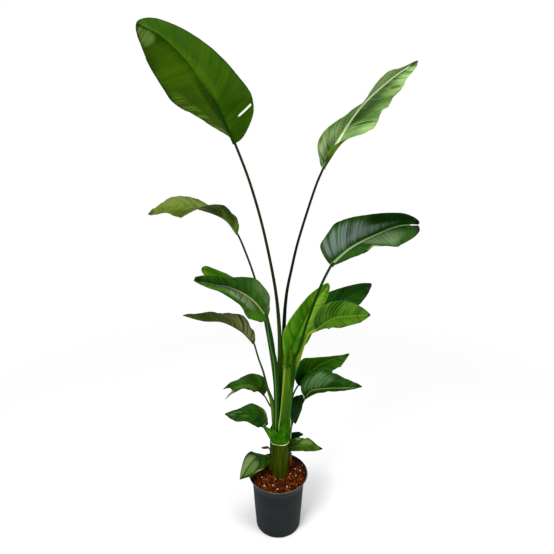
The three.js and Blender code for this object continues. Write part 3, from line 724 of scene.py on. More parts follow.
COLLAR = LeafFinish(
    "collar", deep="#092701", light="#214404", rib="#183a03", margin="#0d0f01", margin_amount=0.8,
    tip="#403c11", stalk_low="#3c7c10", stalk_high="#2c5c10", patches=(
        # painted highlights: pale glints streaked along the pleats near the tip and foot, and
        # along the right margin
        Patch("#8da661", (0.84, 0.12), (0.35, 0.14), 0.35, 0.9),
        Patch("#8da661", (0.72, 0.1), (-0.3, 0.1), 0.18, 0.9),
        Patch("#8da661", (0.92, 0.06), (-0.15, 0.3), 0.3, 0.8),
        Patch("#8da661", (0.1, 0.1), (0.2, 0.4), 0.3, 0.9),
        Patch("#647433", (0.25, 0.2), (0.86, 0.16), 0.75, 0.9)))
OVER_RIM = LeafFinish(
    "over_rim", deep="#0b2902", light="#285007", rib="#1c3f05", margin="#1a2c05", vein_amount=0.03,
    stalk_low="#3c5c10", stalk_high="#3c5c10", patches=(
        # painted sheen: pale glints over both halves towards the tip
        Patch("#6d7e4e", (0.78, 0.36), (0.5, 0.6), 0.85, 0.1),
        Patch("#5c723c", (0.72, 0.26), (-0.4, 0.5), 0.7, 0.2),
        Patch("#869257", (0.5, 0.25), (-0.96, 0.1), 0.75, 0.2)))
WITHERED = LeafFinish(
    "withered", deep="#20190e", light="#584a30", under_deep="#1c1408", under_light="#3a2c16",
    rib="#4a3a1c", margin="#2c1c0c", stalk_low="#2c2410", stalk_high="#2c2410")
HANGING = LeafFinish(
    "hanging", deep="#042201", light="#164005", rib="#102904", margin="#041101",
    stalk_low="#1c3c10", stalk_high="#10240a", patches=(
        Patch("#27490f", (0.6, 0.42), (-0.5, 0.42), 0.75, 0.3),))
LOW_RIGHT = LeafFinish(
    "low_right", deep="#0a2802", light="#234907", rib="#6a8a36", rib_width=1.5, margin="#1a3207",
    tip="#19280a", tip_from=0.95, stalk_low="#1f400c", stalk_high="#16300c", patches=(
        # painted sheen: grey-blue glints on the left half
        Patch("#537347", (0.47, 0.26), (-0.5, 0.48), 0.85, 0.85),
        Patch("#072802", (0.73, 0.12), (-0.35, 0.3), 0.8, 0.3),
        # painted highlights: a small glint near the tip and grey glints at the left half's foot
        Patch("#708852", (0.86, 0.05), (-0.08, 0.12), 0.8, 0.2),
        Patch("#496840", (0.1, 0.15), (-0.6, 0.5), 0.7, 0.8)))
BACK_RIGHT = LeafFinish(
    "back_right", deep="#0a3601", light="#3d6b07", rib="#4e7c18", margin="#173604", tip="#203206",
    stalk_low="#1f400c", stalk_high="#16300c", patches=(
        # painted shade over the foot of the blade
        Patch("#023001", (0.16, 0.3), (-0.5, 0.7), 0.95, 0),
        Patch("#6a8a20", (0.8, 0.2), (-0.2, 0.2), 0.5, 0.6)))
BEHIND_RIGHT = LeafFinish(
    "behind_right", deep="#031d00", light="#163f02", rib="#0a2b01", margin="#071b01",
    tip="#241f02", tip_from=0.98, stalk_low="#2f6a0c", stalk_high="#1f400c", patches=(
        Patch("#355e0a", (0.42, 0.34), (0.45, 0.42), 0.7, 0.85),))
FRONT_RIGHT = LeafFinish(
    "front_right", deep="#103501", light="#487317", rib="#688c28", rib_width=1.5, margin="#2c4d07",
    tip="#2c2305", tip_from=0.98, vein_amount=0.9, vein_mm=13, stalk_low="#2a5a06",
    stalk_high="#7c9c1c", stalk_turn=(0.4, 0.55), patches=(
        # painted shadow over the blade's foot, then a painted grey-green sheen on the left half's
        # foot
        Patch("#1d4a12", (0.1, 0.2), (-0.1, 1.1), 0.75, 0.2),
        Patch("#234716", (0.27, 0.28), (-0.6, 0.48), 0.8, 0.6),
        Patch("#4c7113", (0.72, 0.3), (0.4, 0.6), 0.55, 0.5)))
LOW_FRONT = LeafFinish(
    "low_front", deep="#213b05", light="#496916", rib="#496917", margin="#233606", tip="#0b1102",
    tip_from=0.94, stalk_low="#3c5c10", stalk_high="#3c5c10", patches=(
        # painted highlight: a pale glint on the left margin
        Patch("#9ab47c", (0.36, 0.08), (-0.84, 0.16), 0.6, 0.3),
        Patch("#7a8845", (0.65, 0.2), (-0.5, 0.4), 0.6, 0.4)))
SMALL = LeafFinish(
    "small", deep="#041602", light="#0f2a05", rib="#102806", margin="#0c1c04", tip="#0c1602",
    stalk_low="#143008", stalk_high="#102808")
TORN_STRAND = LeafFinish(
    "torn_strand", deep="#484e2f", light="#83896a", under_deep="#484e2f", under_light="#83896a",
    rib="#83896a", rib_under="#83896a", margin="#626040")


# ------------------------------------------------------------------ leaves
@dataclass(frozen=True)
class Wave:
    """Waves along one margin: how many, how high in millimetres, and where they start."""

    side: Side
    count: float
    height: float
    phase: float = 0.0


@dataclass(frozen=True)
class Slit:
    """A tear along a side vein: which half, at which share of the way to the tip, the share of the
    half-blade from which it runs to near the margin, and how far it gapes in millimetres.
    """

    side: Side
    along: float
    start: float
    width: float


def station_of(tau: Array | float) -> Array | float:
    """The station (1 - cos(pi tau)) / 2 of a row, so that rows crowd at a blade's two ends."""
    return (1 - np.cos(math.pi * tau)) / 2


@dataclass
class Leaf:
    """One grown leaf: sheath, stalk and a blade folded along its midrib.

    rib and stalk are points in millimetres. roll turns the blade about the midrib from facing
    straight up, and fold raises each half from flat, in degrees at even stations. curl is how far
    the half at side curled rolls up and over on its way to the margin. taper holds the powers of
    each half-width law towards the stalk and the tip, trim factors on each half-width at even
    stations in per cent, for the leaf's own outline, and least the half-widths that are left at
    the foot and at the tip. radii holds the stalk's half-widths across and from front to back,
    and join where along the midrib the stalk ends. pleat, swell and frill are the heights of the
    fine, broad and marginal waves of the blade. notch is how far the midrib's end lies behind the
    tip, which is split past the station split and blunt from the station end. lead is how far
    behind its margin a side vein starts, as a share of the midrib at most a quarter, and sweep
    the power of its curve. droop is how far each half bends down, in degrees, and ridge the
    half-width of the flat strip along the midrib.
    """

    node: str
    slot: str
    finish: LeafFinish
    rib: Triples
    roll: Row
    width: tuple[float, float]
    taper: Pairs
    fold: tuple[Row, Row]
    stalk: Triples
    radii: Pairs
    trim: tuple[Row, Row] = ((100, 100), (100, 100))
    wave: Wave | None = None
    slit: Slit | None = None
    pleat: float = 0.35
    swell: float = 1.6
    frill: float = 0.9
    notch: float = 0.0
    lead: float = 0.18
    sweep: float = 1.4
    droop: float = 15.0
    ridge: float = 2.0
    join: tuple[float, float] = (0.0, 0.05)
    curled: Side = Side.RIGHT
    curl: Row = (0, 0)
    split: float = 1.0
    end: float = 1.0
    least: tuple[float, float] = (4.5, 1.2)
    row_step: float = 2.4
    columns: int = 20
    ring_step: float = 7.0
    sides: int = 28

    def __post_init__(self) -> None:
        """Measures the midrib and takes the leaf's own seed from its number."""
        self.curve = Rib(np.array(self.rib, float))
        self.seed = float(self.node[5:7])

    def rows(self) -> Array:
        """Where rows of points stand, with two close rows at a tear.

        Returns:
            Shares of the way to the tip.
        """
        count = max(int(self.curve.length / self.row_step), 24)
        tau = np.linspace(0, math.acos(1 - 2 * self.end) / math.pi, count + 1)
        if self.slit:
            place = np.argmin(abs(tau - self.slit.along))
            tau = np.insert(np.delete(tau, place), place,
                            (self.slit.along - TEAR, self.slit.along + TEAR))
        return tau

    def half(self, side: Side, tau: Array, t: Array) -> tuple[Array, Array, Array]:
        """Half of the blade's middle surface.

        The half-width is s^a (1 - s)^b of the station s, scaled to peak at width, times the trim
        there, and its square has the square of least added. A row starts on the midrib behind its
        station and goes forward by t^sweep, as side veins do. Beside the midrib lies a flat
        strip, of ridge millimetres times 1 - e^-x, and from it each half is an arc that leaves at
        its fold and droops, or rolls up by its curl. Waves, broad swells and fine pleats are
        added along the way the blade faces.

        Args:
            side: which half.
            tau: shares of the way to the tip, as a column.
            t: shares of the half-width, as a row.

        Returns:
            Points in millimetres, distance of each point's side vein along the midrib, and
            distance from the midrib.
        """
        k = 0 if side is Side.LEFT else 1
        a, b = self.taper[k]
        peak = a / (a + b)
        station = station_of(tau)
        law = station ** a * (1 - station) ** b / (peak ** a * (1 - peak) ** b)
        law = law * smooth_stations(self.trim[k], station) / 100
        reach = np.hypot(self.width[k] * law, stations(self.least, tau)) * t
        root = station - 4 * self.lead * station * (1 - station)
        s = np.clip(root + (station - root) * t ** self.sweep, 0, 1)
        vein = root * self.curve.length
        fold = np.radians(stations(self.fold[k], s))
        curl = np.radians(stations(self.curl, s)) * (side is self.curled)
        bend = (math.radians(self.droop) - curl) * t
        bend = np.where(abs(bend) < 1e-4, 1e-4, bend)
        flat = self.ridge * (1 - 0.7 * tau)
        flat = flat * (1 - np.exp(-reach / flat))
        lateral = flat + (reach - flat) * (np.sin(fold) - np.sin(fold - bend)) / bend
        rise = (reach - flat) * (np.cos(fold - bend) - np.cos(fold)) / bend
        fade = np.sqrt(np.maximum(np.sin(math.pi * tau), 0))
        if self.wave and self.wave.side is side:
            turn = math.tau * (self.wave.count * tau + self.wave.phase)
            rise = rise + self.wave.height * t ** 1.5 * np.sin(turn) * fade
        shift = self.seed * 2.3 + side.value
        rise = rise + self.swell * fade * t * (1.6 - t) * ripple(vein, SWELL_MM, shift) \
            + self.pleat * fade * np.sqrt(t) * ripple(vein, PLEAT_MM, shift) \
            + self.frill * fade * t ** 6 * ripple(vein, FRILL_MM, shift + 1)
        if self.slit and self.slit.side is side:
            ramp = ease((t - self.slit.start) / 0.07) * ease((0.975 - t) / 0.03)
            gap = (station - station_of(self.slit.along)) * self.curve.length
            s = s + np.sign(gap) * ramp * self.slit.width / 2 * np.exp(-abs(gap) / 14) \
                / self.curve.length
        pull = self.notch * bell(t / 0.3) * ease((tau - 0.86) / 0.14)
        s = np.clip(s - pull / self.curve.length, 0, 1)
        spot, heading = self.curve.at(s)
        level = unit(UP - heading * heading[..., 2:])
        roll = np.radians(stations(self.roll, s))[..., None]
        facing = level * np.cos(roll) + np.cross(heading, level) * np.sin(roll)
        across = np.cross(heading, facing)
        points = spot + across * (side.value * lateral)[..., None] + facing * rise[..., None]
        return points, vein + 0 * t, reach * side.value

    def add_blade(self, skin: Skin, slot: int = 0) -> None:
        """Adds the blade: a thin plate with a channel over the midrib and a round keel below.

        The channel's depth is a Gaussian of the distance from the midrib, and the keel is a half
        ellipse. Both shrink towards the tip.

        Args:
            skin: the mesh that grows.
            slot: which of the piece's materials the blade wears.
        """
        tau = self.rows()[:, None]
        t = np.linspace(0, 1, self.columns + 1)[None] ** 1.7
        grid, vein, far = (np.concatenate([left[:, ::-1], right[:, 1:]], axis=1) for left, right
                           in zip(*(self.half(side, tau, t) for side in Side)))
        across = np.concatenate([-t[:, ::-1], t[:, 1:]], axis=1)
        normals = grid_normals(grid)
        bulk = self.radii[-1][0] * (1 - tau) ** 0.8 + 0.7
        channel = 0.45 * bulk * bell(far / (0.75 * bulk))
        keel = 1.5 * bulk * np.sqrt(np.maximum(1 - (far / (1.1 * bulk)) ** 2, 0))
        upper = grid + normals * (BLADE_THICKNESS / 2 - channel)[..., None]
        lower = grid - normals * (BLADE_THICKNESS / 2 + keel)[..., None]
        middle = (across[0, 1:] + across[0, :-1]) / 2
        keep = (station_of(tau[1:]) <= self.split) | (abs(middle) >= 0.07)
        if self.slit:
            row = np.argmin(abs(tau - self.slit.along + TEAR))
            middle = middle * self.slit.side.value
            keep[row] = (middle <= self.slit.start + 0.03) | (middle >= 0.955)
        skin.plate(upper, lower, keep, stacked(vein * MM, far * MM, 0),
                   stacked(station_of(tau), across, self.seed * 7.3), slot)

    def add_stalk(self, skin: Skin) -> None:
        """Adds the stalk: an oval rod from the stem into the blade's foot.

        The ring is narrowed by a shallow groove along its back, a Gaussian of the sine of the
        angle, and ridged a little by a sine of nine times the angle.

        Args:
            skin: the mesh that grows.
        """
        points = np.vstack([np.array(self.stalk, float), self.curve.at(np.array(self.join))[0]])
        points[0, 2] += 0.3
        radii = np.vstack([np.array(self.radii, float), [2, 2]])
        length = Rib(points).length
        t = np.linspace(0, 1, max(int(length / self.ring_step), 10))
        angles = circle(self.sides)
        swell = 1 - 0.1 * bell((np.sin(angles) - 1) / 0.12) \
            + 0.02 * np.sin(9 * angles + self.seed)
        up = t[:, None]
        girth = radii[:, 0].mean() * MM
        skin.tube(oval_rings(points, radii, t, angles, swell),
                  stacked(up * length * MM, girth * np.cos(angles), girth * np.sin(angles)),
                  stacked(up, angles / 6.28, self.seed), 1)

    def add_more(self, skin: Skin) -> list[Material]:
        """Adds what else this leaf has, and hands back its materials."""
        return []

    def build(self) -> Object:
        """Builds and dresses the leaf in place of its CAD node.

        Returns:
            The finished piece.
        """
        skin = Skin()
        self.add_blade(skin)
        self.add_stalk(skin)
        materials = [self.finish.blade(), self.finish.stalk(), *self.add_more(skin)]
        return ride_and_slot(skin.piece(self.node + "_grown", materials), self.node)


# ------------------------------------------------------------------ two leaves with more parts
@dataclass
class Collar:
    """The open sheath of leaf 10: a cup that flares round the foot of the fan.

    Its radius widens from foot to rim with height. Its rim is low behind the leaf's stalk on the
    left, has a notch at the front, where its margins meet, and runs up on the right.
    """

    bottom: float = STEM_TOP + 0.3
    sides: int = 144
    rows: int = 36
    foot: float = 36.6
    radius: float = 45.0
    wall: float = 2.2
    rim: float = 487.0
    deep: str = "#183d01"
    light: str = "#2e6202"
    cream: str = "#cfdf9c"

    def skin_material(self) -> Material:
        """Fresh sheath: bright green, half-gloss, with cream margins at its foot and right edge.

        grown_uv.x runs from 0 at the foot to 1 at the rim, and grown_uv.y is 1 along a margin.
        Streaks run up the sheath, about 4.5 mm apart and 70 mm long, and clouds are 21 mm wide.

        Returns:
            The node material.
        """
        material, tree = new_material("leaf_sheath_fresh")
        grown, share = (add(tree, "Attribute", out="Vector", attribute_name=k) for k in KEPT)
        height, margin = (add(tree, "SeparateXYZ", {0: share}, out=k) for k in range(2))
        fibres = add(tree, "VectorMath", {0: grown, 1: (14, 220, 220)}, **TIMES)
        streak = add(tree, "TexNoise", {"Vector": fibres, "Scale": 1.0, "Detail": 3.0})
        cloud = add(tree, "TexNoise", {"Vector": grown, "Scale": 48.0, "Detail": 2.0})
        tone = add(tree, "Math", {0: streak, 1: cloud}, operation="ADD")
        color = lay_over(tree, self.deep, self.light, tone, (0.7, 1.3))
        wavy = add(tree, "Math", {0: cloud, 1: 0.05, 2: height}, **TIMES_PLUS)
        color = lay_over(tree, color, self.cream, wavy, (0.08, 0.06))
        ragged = add(tree, "Math", {0: cloud, 1: 0.4, 2: margin}, **TIMES_PLUS)
        color = lay_over(tree, color, self.cream, ragged, (0.6, 1.0), 0.85)
        surface(tree, color, 0.42, streak, (0.3, 0.0006), 0.02)
        return material

    def add_to(self, skin: Skin) -> None:
        """Adds the cup as one closed wall: up the outside, over the rim and down the inside.

        The radius is foot at the bottom and eases out to radius over 27 mm, waved by sines of the
        angle, and the front is pressed towards the fan by a share of the height. The rim's height
        is a base plus two eased steps at the right and a share of the sine of the angle at the
        back, less a Gaussian dip behind the stalk and a small one at the front.

        Args:
            skin: the mesh that grows.
        """
        angle = circle(self.sides)
        x, y = np.cos(angle), np.sin(angle)
        turn = (angle + math.pi / 2 + math.pi) % math.tau - math.pi
        step = 10 * ease((turn + 0.3) / 0.4) + 30 * ease((turn + 0.1) / 0.7) - 10
        top = self.rim + step * (abs(turn) < 1.9) + 26 * np.maximum(y, 0) * ease(x + 0.8) \
            - 42 * bell((turn + 2.0) / 0.55) - 10 * bell((turn + 0.2) / 0.2) \
            + 1.2 * np.sin(5 * angle) + 0.8 * np.sin(11 * angle)
        foot = self.bottom + 2.6 * np.cos(3 * turn + 0.5) * bell(turn / 1.4) + 1.6
        up = np.linspace(0, 1, self.rows)[:, None] ** 1.15
        z = foot + (top - foot) * up
        rise = z - self.bottom
        radius = self.foot + (self.radius - self.foot) * ease(rise / 27 + 0.12) \
            + 0.5 * np.sin(7 * angle + z / 21) * up + 0.9 * bell(rise / 3.0)
        radius = radius - 2.5 * ease((rise - 62) / 40)
        press = 1 - 0.3 * ease((rise - 16) / 55) * np.maximum(-y, 0)
        inner = np.minimum(radius - self.wall * (1 - 0.6 * up), radius - 0.9)
        outside, inside = (stacked(STEM_X + r * x, r * y * press, z) for r in (radius, inner))
        lip = outside[-1:] + stacked(-0.45 * x, -0.45 * y, 0.5)
        rings = np.concatenate([outside, lip, inside[::-1], outside[:1]])
        height = np.concatenate([up, up[-1:], up[::-1], up[:1]])
        right = bell((turn - 1.32 + 0.08 * np.sin(9 * height)) / 0.1)
        left = 0.4 * (turn < 0.0) * bell((1 - height) / 0.03)
        skin.tube(rings, stacked(rings[..., 2] * MM, self.radius * MM * x, self.radius * MM * y),
                  stacked(height, np.maximum(right, left), 10), 2, closed=False)


@dataclass
class CollarLeaf(Leaf):
    """Leaf 10, whose sheath is the open collar."""

    collar: Collar = field(default_factory=Collar)

    def add_more(self, skin: Skin) -> list[Material]:
        """Adds the collar."""
        self.collar.add_to(skin)
        return [self.collar.skin_material()]


@dataclass
class TornLeaf(Leaf):
    """A leaf with a loose dry strand that hangs from its margin.

    strand is the strand's midline, in millimetres, and dry its finish.
    """

    strand: Triples = ()
    dry: LeafFinish = TORN_STRAND

    def add_more(self, skin: Skin) -> list[Material]:
        """Adds the strand, which is a second, narrow blade.

        Args:
            skin: the mesh that grows.

        Returns:
            The strand's material.
        """
        strip = Leaf(self.node, self.slot, self.dry, self.strand, (-30, -30), (7.5, 7),
                     2 * ((0.2, 0.8),), 2 * ((20, 40),), self.stalk, ((0.5, 0.5),))
        strip.add_blade(skin, 2)
        return [self.dry.blade()]


# ------------------------------------------------------------------ stems
@dataclass
class Stem:
    """A stem of old leaf bases, each with a thin edge that wraps the one above.

    points and radii are those of the CAD rod. bands are the heights at which an old base ends, and
    swell is how far it swells the stem there.
    """

    node: str
    points: Triples
    radii: Pairs
    bands: Row
    light: str = "#384a03"
    dark: str = "#202c02"
    blush: str = "#3c3404"
    dry: str = "#6a5a2c"
    swell: float = 0.016
    ring_step: float = 1.3
    sides: int = 72
    seed: float = 1.0

    def bark(self) -> Material:
        """Old leaf bases: smooth olive skin, dulled and streaked brown along the fibres.

        Streaks are about 8 mm apart and 170 mm long, and rusty clouds 36 mm wide.

        Returns:
            The node material.
        """
        material, tree = new_material("old_leaf_base_" + self.node)
        grown, share = (add(tree, "Attribute", out="Vector", attribute_name=k) for k in KEPT)
        edge = add(tree, "SeparateXYZ", {0: share}, out=1)
        fibres = add(tree, "VectorMath", {0: grown, 1: (6, 120, 120)}, **TIMES)
        streak = add(tree, "TexNoise", {"Vector": fibres, "Scale": 1.0, "Detail": 4.0})
        cloud = add(tree, "TexNoise", {"Vector": grown, "Scale": 28.0, "Detail": 3.0})
        color = lay_over(tree, self.dark, self.light, streak, (0.3, 0.7))
        rust = add(tree, "Math", {0: cloud, 1: streak}, **TIMES)
        color = lay_over(tree, color, self.blush, rust, (0.3, 0.45), 0.7)
        color = lay_over(tree, color, self.dry, edge, (0.8, 1.0), 0.5)
        matt = add(tree, "MapRange", {0: streak, 3: 0.6, 4: 0.48})
        surface(tree, color, matt, streak, (0.4, 0.0006), 0.02)
        return material

    def build(self) -> Object:
        """Builds the stem in place of its CAD node.

        The oval ring is swelled by a share that peaks just under the edge of each old base and
        dies away below it. The edge runs round the stem as a slanted wave. Fine ridges follow the
        fibres.

        Returns:
            The finished piece.
        """
        points, radii = np.array(self.points, float), np.array(self.radii, float)
        low, high = points[0, 2], points[-1, 2]
        t = np.linspace(0, 1, int((high - low) / self.ring_step))
        angles = circle(self.sides)
        z = low + (high - low) * t[:, None]
        swell = 1 + 0.006 * np.sin(13 * angles) + 0.004 * np.sin(29 * angles + 1)
        edge = 0.0
        for k, band in enumerate(self.bands):
            below = band + 9 * np.sin(angles + 2.1 * k + self.seed) \
                + 1.5 * np.sin(5 * angles + k) - z
            swell = swell + self.swell * (below > 0) * np.exp(-np.maximum(below, 0) / 60)
            edge = np.maximum(edge, (below > -0.6) * np.exp(-np.maximum(below, 0) / 1.6))
        girth = radii[:, 0].mean() * MM
        skin = Skin()
        skin.tube(oval_rings(points, radii, t, angles, swell),
                  stacked(z * MM, girth * np.cos(angles), girth * np.sin(angles)),
                  stacked(t[:, None], edge, 0))
        return ride_and_slot(skin.piece(self.node + "_grown", [self.bark()]), self.node)


